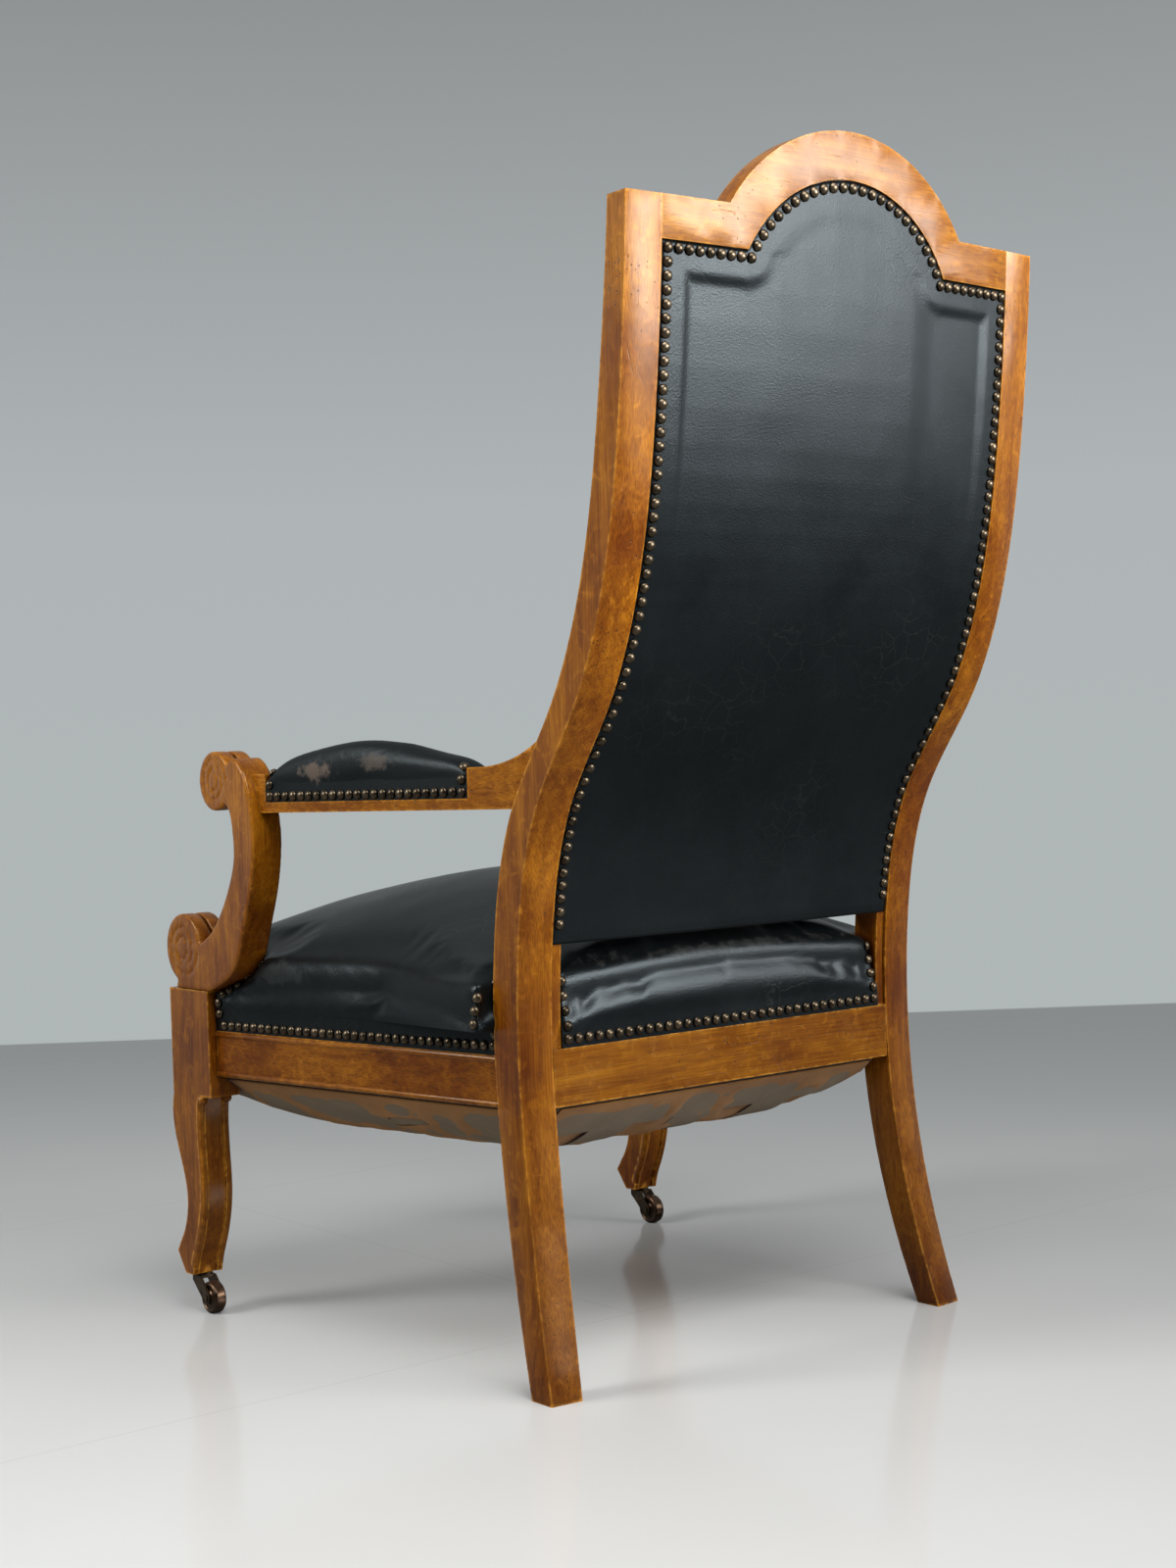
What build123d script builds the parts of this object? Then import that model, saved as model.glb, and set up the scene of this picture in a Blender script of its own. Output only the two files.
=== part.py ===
from build123d import *
import os
from math import asin, cos, degrees, pi, radians, sin, sqrt

# A tall armchair with a bowed, raked back, scrolled arm supports and a sprung leather seat.
# All sizes are millimetres. While it is modelled, y = 0 is the heel of the rear feet, the sitter
# faces -Y, and the sitter's left is +X. The last step moves the origin under the middle.

# Working allowances
overrun = 60.0
seat_gap = 0.3
fit_gap = 0.05

# Rear posts and the bowed back frame
arch_top_height = 1180.0
shoulder_height = 1097.0
back_rake = 154.0
back_half_width = 266.0
shoulder_flare = 2.0
foot_half_width = 278.0
foot_width = 34.0
post_width = 38.0
post_depth = 38.0
bow_depth = 13.0
rebate_width = 12.0
rebate_depth = 3.0
# Height as a share of the arch top, set back as a share of the rake, depth as a share of the post
post_line_shares = (
    (0.000, 0.000, 0.80), (0.110, -0.200, 0.92), (0.254, -0.318, 1.00), (0.364, -0.280, 1.00),
    (0.475, -0.040, 0.97), (0.551, 0.360, 0.95), (0.657, 0.700, 0.87), (0.797, 0.900, 0.79),
    (0.930, 1.000, 0.66), (1.020, 1.035, 0.61),
)

# Crest rail
outer_arch_half_width = 152.0
inner_arch_half_width = 129.5
inner_arch_top = 1135.0
crest_height = 39.0

# Seat rails
rail_bottom = 268.0
rear_rail_height = 56.0
rear_rail_setback = 45.4
side_rail_height = 50.0
rail_thickness = 28.0
nailing_height = 25.0
bead_radius = 3.0
bead_inset = 1.2
nosing_radius = 4.0
nosing_inset = 2.4
side_rail_front_inset = 10.0
side_rail_rear_inset = 8.0
front_rail_bow = 14.0
front_rail_inset = 16.0
corner_block_size = 46.0
corner_block_height = 40.0
post_rail_clearance = 1.5

# Front legs
leg_half_span = 337.0
leg_thickness = 36.0
leg_reach = 604.0
block_depth = 84.0
block_bottom = 245.0
block_top = 362.0
leg_bottom = 43.0
leg_border_width = 7.0
leg_border_height = 2.0
knee_bead_radius = 5.0
# Front and rear edges below the block: height as a share of its underside, reach as a share of
# the block's depth behind its front face
leg_front_shares = (
    (1.000, 0.010), (0.880, -0.036), (0.690, 0.143), (0.530, 0.274), (0.410, 0.214), (0.335, 0.090),
)
leg_toe_share = (0.270, -0.048)
leg_sole_share = 0.155
leg_rear_shares = (
    (1.000, 0.720), (0.880, 0.680), (0.690, 0.700), (0.575, 0.714), (0.460, 0.667), (0.340, 0.548),
    (0.2490, 0.417),
)
leg_heel_share = 0.357

# Scrolled arm supports
lower_scroll_radius = 38.0
lower_scroll_inset = 33.0
lower_scroll_height = 407.0
upper_scroll_radius = 32.0
upper_scroll_inset = 116.0
upper_scroll_height = 591.0
scroll_groove_width = 4.0
scroll_groove_depth = 6.0
support_heel_inset = 88.0
support_depth = 155.0
# The spiral carved on both sides of each scroll: radii of its half turns from the outside in, ending
# in the ring round its eye, and how far its outermost centre lies behind, as shares of the scroll
spiral_radius_shares = (0.760, 0.615, 0.470, 0.325)
spiral_offset_share = 0.110
spiral_groove_width = 3.0
spiral_groove_depth = 2.0
# The rear edge from the top of the upper scroll down, and the hollow front edge from below it
# down: distance behind the leg's front as a share of the depth, height as a share of the upper
# scroll's
support_rear_shares = (
    (1.0014710, 1.041), (1.1417548, 1.014), (1.2235871, 0.961), (1.2606065, 0.906),
    (1.2450194, 0.853), (1.1807226, 0.792), (1.0774581, 0.729), (0.9293806, 0.657),
    (0.7423355, 0.628), (0.5689290, 0.6125),
)
support_hollow_shares = (
    (0.8378065, 0.960), (0.9235355, 0.9500), (0.9741935, 0.9080), (0.9800387, 0.862),
    (0.9176903, 0.818), (0.7813032, 0.763), (0.6234839, 0.722), (0.4481290, 0.700),
)

# Arm rails and their pads
arm_bottom = 556.0
arm_height = 41.0
arm_thickness = 32.0
arm_front_inset = 10.0
arm_rear_inset = 1.0
arm_sweep_radius = 140.0
arm_sweep_start = 88.0
arm_sweep_turn = 62.0
pad_front_inset = 202.0
pad_rear_reach = 105.0
pad_lap_height = 11.0
pad_core_drop = 12.0
leather_thickness = 2.5
pad_crown = 28.0
# Along the pad from its front: share of its length, shoulder and crown as shares of the crown
pad_shape_shares = (
    (0.000, -0.30, -0.10), (0.070, 0.05, 0.45), (0.240, 0.15, 0.86), (0.600, 0.18, 1.00),
    (0.880, 0.12, 0.74), (0.975, -0.05, 0.30), (1.000, -0.30, -0.05),
)

# Back upholstery
outer_back_bottom = 424.0
lower_rail_bottom = 430.0
lower_rail_height = 38.0
lower_rail_thickness = 22.0
inside_back_bottom = 446.0
inside_back_edge = 14.0
inside_back_crown = 46.0
webbing_thickness = 1.5
pad_end_share = 0.08
pad_steps = 6
curve_halvings = 40
tuft_rows = 6
tuft_columns = 4
tuft_pitch_wide = 96.0
tuft_pitch_high = 104.0
tuft_first_height = 545.0
tuft_depth = 15.0
tuft_radius = 34.0
button_radius = 8.0
button_height = 5.0
button_rim_share = 0.45
button_taper = 50.0
button_sides = 24

# Seat
seat_edge_height = 398.0
seat_crown_height = 478.0
seat_wall_bulge = 4.0
seat_corner_radius = 16.0
seat_corner_growth_share = 0.24
seat_front_inset = 1.0
# Along the seat from its front: share of its depth, then the side edge and the crown as shares of
# the crown's rise over the edge
seat_shape_shares = (
    (0.000, -0.14, 0.02), (0.045, -0.03, 0.40), (0.140, 0.02, 0.74), (0.320, 0.03, 0.97),
    (0.500, 0.03, 1.00), (0.700, 0.02, 0.82), (0.870, 0.00, 0.52), (0.965, -0.03, 0.25),
    (1.000, -0.08, 0.11),
)
spring_deck_height = 385.0
spring_well_margin = 34.0
canvas_thickness = 1.5
spring_rows = 3
spring_columns = 3
spring_pitch_wide = 112.0
spring_pitch_deep = 122.0
spring_radius = 36.0
spring_waist_radius = 24.0
spring_wire = 3.6
spring_turns = 4
spring_sides = 8
spring_middle_reach = 322.0
sag_depth = 62.0
sag_edge_inset = 10.0
strap_width = 56.0
cloth_thickness = 1.0
# The sagging underside: depth as a share of the sag, inset as a share of the seat's half depth
sag_shares = ((0.00, 0.00), (0.50, 0.14), (0.88, 0.30), (1.00, 0.44))

# Joinery
tenon_length = 20.0
tenon_thickness = 8.0
tenon_shoulder = 8.0
dowel_radius = 5.0
dowel_length = 34.0

# Casters
wheel_radius = 17.5
wheel_width = 14.0
wheel_edge_radius = 3.0
hub_radius = 7.0
hub_recess = 1.5
caster_trail = 20.0
axle_radius = 3.0
cheek_thickness = 2.5
cheek_gap = 0.6
cheek_boss_radius = 6.5
horn_plate_length = 17.0
horn_plate_thickness = 3.0
horn_collar_radius = 8.5
pivot_radius = 3.5
pivot_length = 26.0
socket_plate_radius = 9.5
socket_plate_thickness = 2.5
socket_sleeve_wall = 2.0

# Worked out from the sizes above
bow_radius = (back_half_width ** 2 + bow_depth ** 2) / (2 * bow_depth)
bow_axis_y = bow_depth - bow_radius
post_inner_face = back_half_width - post_width
panel_top = shoulder_height - crest_height
rear_rail_top = rail_bottom + rear_rail_height
side_rail_top = rail_bottom + side_rail_height
nailing_top = side_rail_top + nailing_height
leg_inner_face = leg_half_span - leg_thickness
lower_scroll_reach = leg_reach - lower_scroll_inset
upper_scroll_reach = leg_reach - upper_scroll_inset
support_heel_reach = leg_reach - support_heel_inset
pad_front_reach = leg_reach - pad_front_inset
block_rear = block_depth - leg_reach
seat_front_reach = leg_reach - seat_front_inset
seat_half_depth = (seat_front_reach - rear_rail_setback) / 2
swivel_y = (leg_sole_share + leg_heel_share) / 2 * block_depth - leg_reach
swivel_x = leg_half_span - leg_thickness / 2


def side_prism(face, low, high):
    """A face drawn in y and z, made solid from one x to another."""
    return Pos(low, 0, 0) * extrude(Plane.YZ * face, amount=high - low)


def front_prism(face):
    """A face drawn in x and z, made solid through the whole depth of the chair."""
    return extrude(Plane.XZ * face, amount=leg_reach + back_rake, both=True)


def plan_prism(face, low, high):
    """A face drawn in x and y, made solid from one height to another."""
    return Pos(0, 0, low) * extrude(face, amount=high - low)


def quad(a, b, c, d):
    """A face with four straight edges."""
    return make_face([Line(a, b), Line(b, c), Line(c, d), Line(d, a)])


def block_between(low, high):
    """A box from its lowest corner to its highest."""
    size = [high[i] - low[i] for i in range(len(low))]
    return Pos(*low) * Box(*size, align=(Align.MIN, Align.MIN, Align.MIN))


def mirrored(piece):
    """The same piece on the other side of the chair."""
    return mirror(piece, about=Plane.YZ)


def along(start, end, y):
    """The x at a given y on the straight plan line through two points."""
    return start[0] + (end[0] - start[0]) * (y - start[1]) / (end[1] - start[1])


def largest(piece):
    """The largest solid of a cut piece."""
    return max(piece.solids(), key=lambda solid: solid.volume)


# The bowed back
# Every layer of the back follows one S-curve seen from the side, turned about a distant upright
# axis so that it is hollow towards the sitter.
def back_line(depth_part, offset):
    """Points of the S-curve at the back (part 0) or front (part 1) of the frame, moved forward."""
    return [
        (back_rake * rake + bow_depth - post_depth * depth * depth_part - offset,
         arch_top_height * height)
        for height, rake, depth in post_line_shares
    ]


def back_slab(rear, front):
    """A bowed layer of the back between two lines, each given as (depth part, offset)."""
    rear_points = back_line(*rear)
    front_points = back_line(*front)
    face = make_face([
        Spline(*rear_points),
        Line(rear_points[-1], front_points[-1]),
        Spline(*front_points),
        Line(front_points[0], rear_points[0]),
    ])
    axis = Axis((0, bow_axis_y, 0), (0, 0, 1))
    half_turn = degrees(asin((foot_half_width + overrun / 4) / bow_radius))
    turned = revolve(Plane.YZ * face, axis=axis, revolution_arc=2 * half_turn)
    return turned.rotate(axis, -half_turn)


def arch_circle(half_width, base, top):
    """Radius and centre height of an arch of the given half width and rise."""
    rise = top - base
    radius = (half_width ** 2 + rise ** 2) / (2 * rise)
    return radius, top - radius


def panel_outline(inset, bottom):
    """The arched outline of the upholstered back, drawn in by an inset at its sides and top."""
    radius, centre = arch_circle(inner_arch_half_width, panel_top, inner_arch_top)
    radius = radius - inset
    level = panel_top - inset
    spring = sqrt(radius ** 2 - (level - centre) ** 2)
    side = post_inner_face - inset
    return make_face([
        Line((-side, bottom), (side, bottom)),
        Line((side, bottom), (side, level)),
        Line((side, level), (spring, level)),
        ThreePointArc((spring, level), (0, centre + radius), (-spring, level)),
        Line((-spring, level), (-side, level)),
        Line((-side, level), (-side, bottom)),
    ])


def post_outline():
    """Front view of the left rear post, splayed a little at the foot."""
    inner_foot = foot_half_width - foot_width
    shoulder = back_half_width + shoulder_flare
    return make_face([
        TangentArc((back_half_width, rail_bottom), (foot_half_width, 0), tangent=(0, -1)),
        Line((foot_half_width, 0), (inner_foot, 0)),
        TangentArc((post_inner_face, rail_bottom), (inner_foot, 0), tangent=(0, -1)),
        Line((post_inner_face, rail_bottom), (post_inner_face, shoulder_height)),
        Line((post_inner_face, shoulder_height), (shoulder, shoulder_height)),
        Line((shoulder, shoulder_height), (back_half_width, rail_bottom)),
    ])


def make_post(frame_slab, lip_slab):
    """The left rear post with the rebated lip that the leather is nailed to."""
    lip_inner = post_inner_face - rebate_width
    lip = quad((lip_inner, rear_rail_top), (post_inner_face + fit_gap, rear_rail_top),
               (post_inner_face + fit_gap, panel_top - rebate_width), (lip_inner, panel_top - rebate_width))
    return (frame_slab & front_prism(post_outline())) + (lip_slab & front_prism(lip))


def make_crest(frame_slab, lip_slab):
    """The arched crest rail with its rebated lip."""
    side = post_inner_face
    top = arch_top_height
    spring = outer_arch_half_width
    whole = make_face([
        Line((side, panel_top - rebate_width), (side, shoulder_height)),
        Line((side, shoulder_height), (spring, shoulder_height)),
        ThreePointArc((spring, shoulder_height), (0, top), (-spring, shoulder_height)),
        Line((-spring, shoulder_height), (-side, shoulder_height)),
        Line((-side, shoulder_height), (-side, panel_top - rebate_width)),
        Line((-side, panel_top - rebate_width), (side, panel_top - rebate_width)),
    ])
    show = whole - panel_outline(0, outer_back_bottom)
    below = Pos(0, -overrun / 2) * Rectangle(2 * overrun + 2 * side, overrun)
    show = show - Pos(0, panel_top) * below
    lip = panel_outline(0, panel_top - rebate_width) - panel_outline(rebate_width, outer_back_bottom)
    return (frame_slab & front_prism(show)) + (lip_slab & front_prism(lip))


# Seat rails
def side_line():
    """Plan line of the side rail's outer face, from the front leg to the rear post."""
    return ((leg_half_span - side_rail_front_inset, block_rear),
            (back_half_width - side_rail_rear_inset, -rear_rail_setback - post_depth))


def side_strip(outer_inset, inner_inset, low, high, front=None, rear=None):
    """A straight strip along the left side of the seat, between two insets from the side line."""
    start, end = side_line()
    front_y = start[1] - tenon_length if front is None else front
    rear_y = end[1] + post_depth / 2 if rear is None else rear
    corners = []
    for y, inset in ((front_y, outer_inset), (rear_y, outer_inset), (rear_y, inner_inset), (front_y, inner_inset)):
        corners.append((along(start, end, y) - inset, y))
    return plan_prism(quad(*corners), low, high)


def make_side_rail():
    """The left seat rail: a show face between a bead and a nosing, with a nailing rebate above."""
    start, end = side_line()
    rail = side_strip(0, rail_thickness, rail_bottom, side_rail_top, rear=end[1] + overrun / 4)
    rail += side_strip(rebate_depth, rail_thickness, side_rail_top, side_rail_top + nailing_height,
                       rear=end[1] + overrun / 4)
    beads = ((bead_radius, bead_inset, rail_bottom + bead_radius),
             (nosing_radius, nosing_inset, side_rail_top - nosing_radius - fit_gap))
    for radius, inset, height in beads:
        bead_path = Line((start[0] - inset, start[1], height),
                         (along(start, end, end[1]) - inset, end[1], height))
        section = Plane(origin=bead_path @ 0, z_dir=bead_path % 0) * Circle(radius)
        rail += sweep(section, path=bead_path)
    return rail


def make_rear_rail():
    """The rear seat rail between the posts, with its nailing rebate above."""
    side = post_inner_face
    rear = -rear_rail_setback
    rail = block_between((-side, rear - rail_thickness, rail_bottom), (side, rear, rear_rail_top))
    lip = side - rebate_width
    rail += block_between((-lip, rear - rail_thickness, rear_rail_top),
                          (lip, rear - rebate_depth, nailing_top))
    tenon_y = rear - tenon_shoulder - tenon_thickness / 2
    return rail + make_tenons(side, tenon_y, rail_bottom + tenon_shoulder, rear_rail_top - tenon_shoulder)


def make_front_rail():
    """The bowed front seat rail between the front legs."""
    side = leg_inner_face
    face_y = front_rail_inset - leg_reach
    back_y = face_y + rail_thickness

    def bowed(inset, low, high):
        front = face_y + inset
        return plan_prism(make_face([
            ThreePointArc((-side, front), (0, front - front_rail_bow), (side, front)),
            Line((side, front), (side, back_y)),
            Line((side, back_y), (-side, back_y)),
            Line((-side, back_y), (-side, front)),
        ]), low, high)

    rail = bowed(0, rail_bottom, side_rail_top)
    rail += bowed(rebate_depth, side_rail_top, side_rail_top + nailing_height)
    rail += bowed(-bead_inset, rail_bottom, rail_bottom + 2 * bead_radius)
    tenon_y = back_y - tenon_shoulder - tenon_thickness / 2
    return rail + make_tenons(side, tenon_y, rail_bottom + tenon_shoulder, side_rail_top - tenon_shoulder)


def make_corner_blocks():
    """Three-cornered glue blocks inside the four corners, clear of rails, posts and legs by a hair."""
    start, end = side_line()
    size = corner_block_size
    low = rail_bottom + seat_gap
    high = rail_bottom + corner_block_height
    side_space = side_strip(-overrun, rail_thickness + fit_gap, low - overrun, high + overrun,
                            front=start[1] - overrun, rear=end[1] + overrun)
    leg_space = block_between((leg_inner_face - fit_gap, -leg_reach, low - overrun),
                              (leg_half_span + overrun, block_rear + fit_gap, high + overrun))
    post_space = block_between((post_inner_face - fit_gap, end[1] - post_rail_clearance, low - overrun),
                               (leg_half_span + overrun, overrun, high + overrun))
    blocks = []
    for corner_y, direction in ((-rear_rail_setback - rail_thickness - fit_gap, -1),
                                (front_rail_inset - leg_reach + rail_thickness + fit_gap, 1)):
        corner_x = along(start, end, corner_y)
        face = make_face([
            Line((corner_x, corner_y), (corner_x - 2 * size, corner_y)),
            Line((corner_x - 2 * size, corner_y), (corner_x, corner_y + 2 * direction * size)),
            Line((corner_x, corner_y + 2 * direction * size), (corner_x, corner_y)),
        ])
        block = largest(plan_prism(face, low, high) - [side_space, leg_space, post_space])
        blocks += [block, mirrored(block)]
    return blocks


# Front legs
def leg_point(share):
    """A point on the side view of the front leg from its height and reach shares."""
    return (share[1] * block_depth - leg_reach, share[0] * block_bottom)


def leg_outline(rear_inset):
    """Side view of the cabriole leg below its block, its rear edge drawn in by an inset."""
    front = [leg_point(share) for share in leg_front_shares]
    rear = [(leg_point(share)[0] - rear_inset, leg_point(share)[1]) for share in leg_rear_shares]
    toe = leg_point(leg_toe_share)
    sole_front = (leg_sole_share * block_depth - leg_reach, leg_bottom)
    sole_rear = (leg_heel_share * block_depth - leg_reach - rear_inset, leg_bottom)
    return make_face([
        Spline(*front),
        Line(front[-1], toe),
        Line(toe, sole_front),
        Line(sole_front, sole_rear),
        Line(sole_rear, rear[-1]),
        Spline(*reversed(rear)),
        Line(rear[0], front[0]),
    ])


def make_leg():
    """The left front leg: a square block over a cabriole leg with raised borders behind."""
    block_face = quad((-leg_reach, block_bottom), (block_rear, block_bottom),
                      (block_rear, block_top), (-leg_reach, block_top))
    leg = side_prism(block_face, leg_inner_face, leg_half_span)
    leg += side_prism(leg_outline(leg_border_height), leg_inner_face + leg_border_width,
                      leg_half_span - leg_border_width)
    border = leg_outline(0)
    knee_y, knee_z = leg_point(leg_rear_shares[0])
    for low in (leg_inner_face, leg_half_span - leg_border_width):
        leg += side_prism(border, low, low + leg_border_width)
        bead = Pos(knee_y, knee_z) * Circle(knee_bead_radius)
        leg += side_prism(bead, low, low + leg_border_width)
    return leg


# Arm supports
def support_point(share):
    """A point on the side view of the arm support from its depth and height shares."""
    return (share[0] * support_depth - leg_reach, share[1] * upper_scroll_height)


def spiral_face(centre, radius, first_side):
    """Side view of the line carved round a scroll's eye; its outermost half turn passes over the
    eye where first_side is 1 and under it where that is -1."""
    half = spiral_groove_width / 2
    middle = centre[0] + spiral_offset_share * radius
    side = first_side
    rings = []
    for number, share in enumerate(spiral_radius_shares):
        turn = radius * share
        ring = Circle(turn + half) - Circle(turn - half)
        if share > spiral_radius_shares[-1]:
            ring = ring & (Pos(0, side * radius) * Rectangle(2 * radius, 2 * radius))
            inner_turn = radius * spiral_radius_shares[number + 1]
        rings.append(Pos(middle, centre[1]) * ring)
        middle += (inner_turn - turn) * side * first_side
        side = -side
    face = rings[0]
    for ring in rings[1:]:
        face += ring
    return face & (Pos(*centre) * Circle(radius))


def make_support():
    """The left arm support: a C-curve that ends in a scroll at each end, grooved round the rolls."""
    rear = [support_point(share) for share in support_rear_shares]
    hollow = [support_point(share) for share in support_hollow_shares]
    heel = (-support_heel_reach, block_top)
    toe = (-lower_scroll_reach - lower_scroll_radius / 2, block_top)
    lower_centre = (-lower_scroll_reach, lower_scroll_height)
    upper_centre = (-upper_scroll_reach, upper_scroll_height)
    stem = make_face([
        Spline(*rear),
        Line(rear[-1], heel),
        Line(heel, toe),
        Line(toe, lower_centre),
        Line(lower_centre, hollow[-1]),
        Spline(*reversed(hollow)),
        Line(hollow[0], upper_centre),
        Line(upper_centre, rear[0]),
    ])
    outline = stem + Pos(*lower_centre) * Circle(lower_scroll_radius) \
        + Pos(*upper_centre) * Circle(upper_scroll_radius)
    support = side_prism(outline, leg_inner_face, leg_half_span)
    groove_low = leg_half_span - leg_thickness / 2 - scroll_groove_width / 2
    for centre, radius in ((lower_centre, lower_scroll_radius), (upper_centre, upper_scroll_radius)):
        ring = Pos(*centre) * (Circle(radius + scroll_groove_depth) - Circle(radius - scroll_groove_depth))
        ring = ring - stem
        support -= side_prism(ring, groove_low, groove_low + scroll_groove_width)
    for centre, radius, side in ((lower_centre, lower_scroll_radius, -1), (upper_centre, upper_scroll_radius, 1)):
        spiral = spiral_face(centre, radius, side)
        for low in (leg_inner_face, leg_half_span - spiral_groove_depth):
            support -= side_prism(spiral, low, low + spiral_groove_depth)
    return support


# Arms
def arm_line():
    """Plan line of the arm's outer face, from the support to the rear post."""
    return ((leg_half_span - arm_front_inset, -upper_scroll_reach + 2 * upper_scroll_radius),
            (back_half_width - arm_rear_inset, -rear_rail_setback))


def arm_strip(outer_inset, inner_inset, front, rear, low, high):
    """A straight strip along the left arm between two insets from its outer face."""
    start, end = arm_line()
    corners = []
    for y, inset in ((front, outer_inset), (rear, outer_inset), (rear, inner_inset), (front, inner_inset)):
        corners.append((along(start, end, y) - inset, y))
    return plan_prism(quad(*corners), low, high)


def make_arm():
    """The left arm rail: straight, rebated for its pad, and swept up into the post."""
    front = -upper_scroll_reach + upper_scroll_radius
    rear = back_rake / 3
    top = arm_bottom + arm_height
    start = -arm_sweep_start
    turn = radians(arm_sweep_turn)
    middle = (start + arm_sweep_radius * sin(turn / 2), top + arm_sweep_radius * (1 - cos(turn / 2)))
    finish = (start + arm_sweep_radius * sin(turn), top + arm_sweep_radius * (1 - cos(turn)))
    profile = make_face([
        Line((front, arm_bottom), (front, top)),
        Line((front, top), (start, top)),
        ThreePointArc((start, top), middle, finish),
        Line(finish, (rear, finish[1])),
        Line((rear, finish[1]), (rear, arm_bottom)),
        Line((rear, arm_bottom), (front, arm_bottom)),
    ])
    plan = arm_strip(0, arm_thickness, front - overrun, rear + overrun, arm_bottom - overrun, finish[1] + overrun)
    arm = side_prism(profile, 0, leg_half_span) & plan
    lap = arm_bottom + pad_lap_height
    arm -= block_between((0, -pad_front_reach, lap), (leg_half_span, -pad_rear_reach, finish[1]))
    arm -= block_between((0, -pad_rear_reach, arm_bottom - overrun),
                         (post_inner_face, rear + overrun, finish[1] + overrun))
    return arm + make_pad_core()


def make_pad_core():
    """The thinner length of the arm rail inside the pad."""
    return arm_strip(leather_thickness, arm_thickness - leather_thickness, -pad_front_reach, -pad_rear_reach,
                     arm_bottom + pad_lap_height, arm_bottom + arm_height - pad_core_drop)


def make_pad():
    """The left arm pad: a crowned leather pad that laps down both sides of the arm."""
    start, end = arm_line()
    length = pad_front_reach - pad_rear_reach - 2 * seat_gap
    lap = arm_bottom + pad_lap_height + seat_gap
    top = arm_bottom + arm_height
    sections = []
    for share, shoulder_share, crown_share in pad_shape_shares:
        y = -pad_front_reach + seat_gap + share * length
        outer = along(start, end, y)
        inner = outer - arm_thickness
        shoulder = top + shoulder_share * pad_crown
        crown = top + crown_share * pad_crown
        face = make_face([
            Line((inner, lap), (outer, lap)),
            Line((outer, lap), (outer, shoulder)),
            ThreePointArc((outer, shoulder), ((inner + outer) / 2, crown), (inner, shoulder)),
            Line((inner, shoulder), (inner, lap)),
        ])
        sections.append(Pos(0, y, 0) * (Plane.XZ * face))
    return loft(sections) - make_pad_core()


# Back upholstery
def line_at(curve, height):
    """The y of a side curve at a given height."""
    low, high = 0.0, 1.0
    for halving in range(curve_halvings):
        middle = (low + high) / 2
        if (curve @ middle).Y < height:
            low = middle
        else:
            high = middle
    return (curve @ low).X


def pad_front(curve, z):
    """The front of the inside back at a height: y at its edge and y at its middle."""
    share = (z - inside_back_bottom) / (arch_top_height - inside_back_bottom)
    share = min(max(share, 0), 1)
    swell = sin(pi * (pad_end_share + (1 - 2 * pad_end_share) * share)) ** 0.5
    middle = line_at(curve, z)
    edge = middle - post_inner_face ** 2 / (2 * bow_radius) - inside_back_edge
    return edge, middle - inside_back_edge - (inside_back_crown - inside_back_edge) * swell


def tuft_centres(curve):
    """Centres of the balls that sink each button of the diamond pattern into the pad."""
    centres = []
    for row in range(tuft_rows):
        columns = tuft_columns - row % 2
        z = tuft_first_height + row * tuft_pitch_high
        edge, middle = pad_front(curve, z)
        for column in range(columns):
            x = (column - (columns - 1) / 2) * tuft_pitch_wide
            y = middle + (edge - middle) * (x / post_inner_face) ** 2
            centres.append((x, y - tuft_radius + tuft_depth, z))
    return centres


def make_inside_back(curve):
    """The tufted inside back: a crowned pad on the front of the frame, drawn in at each button."""
    half = post_inner_face
    sections = []
    for step in range(pad_steps + 1):
        z = inside_back_bottom + (arch_top_height - inside_back_bottom) * step / pad_steps
        edge, middle = pad_front(curve, z)
        back = middle + 2 * inside_back_crown
        face = make_face([
            Line((-half, back), (half, back)),
            Line((half, back), (half, edge)),
            ThreePointArc((half, edge), (0, middle), (-half, edge)),
            Line((-half, edge), (-half, back)),
        ])
        sections.append(Pos(0, 0, z) * face)
    pad = loft(sections) & front_prism(panel_outline(seat_gap, inside_back_bottom))
    pad -= back_slab((0, -overrun), (1, webbing_thickness - rebate_depth + seat_gap))
    for centre in tuft_centres(curve):
        pad -= Pos(*centre) * Sphere(tuft_radius)
    return pad


def make_buttons(curve):
    """The covered buttons, each a flat-sided round with a sloping top, seated in its tuft."""
    rim = button_height * button_rim_share
    outline = RegularPolygon(button_radius, button_sides)
    button = extrude(outline, amount=rim)
    button += Pos(0, 0, rim) * extrude(outline, amount=button_height - rim, taper=button_taper)
    button = Rot(90, 0, 0) * button
    seat = sqrt(tuft_radius ** 2 - button_radius ** 2) - seat_gap
    return [Pos(x, y + seat, z) * button for x, y, z in tuft_centres(curve)]


# Seat
def seat_outline(side_inset, front_inset, rear_inset, corner):
    """The seat's plan outline, drawn in at its sides, front and rear, with rounded corners."""
    start, end = side_line()
    front = front_inset - seat_front_reach
    rear = -rear_rail_setback - rear_inset
    front_x = along(start, end, front) - side_inset
    rear_x = along(start, end, rear) - side_inset
    face = quad((-front_x, front), (front_x, front), (rear_x, rear), (-rear_x, rear))
    return fillet(face.vertices(), corner)


def seat_plan(inset):
    """Plan of the seat over its rails, bowed in front, drawn in by an inset."""
    start, end = side_line()
    front = front_rail_inset - leg_reach + inset
    rear = -rear_rail_setback - inset
    corners = [(along(start, end, y) - inset + 2 * seat_wall_bulge, y) for y in (front, rear)]
    front_x, rear_x = corners[0][0], corners[1][0]
    return make_face([
        ThreePointArc((-front_x, front), (0, front - front_rail_bow), (front_x, front)),
        Line((front_x, front), (rear_x, rear)),
        Line((rear_x, rear), (-rear_x, rear)),
        Line((-rear_x, rear), (-front_x, front)),
    ])


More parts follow.
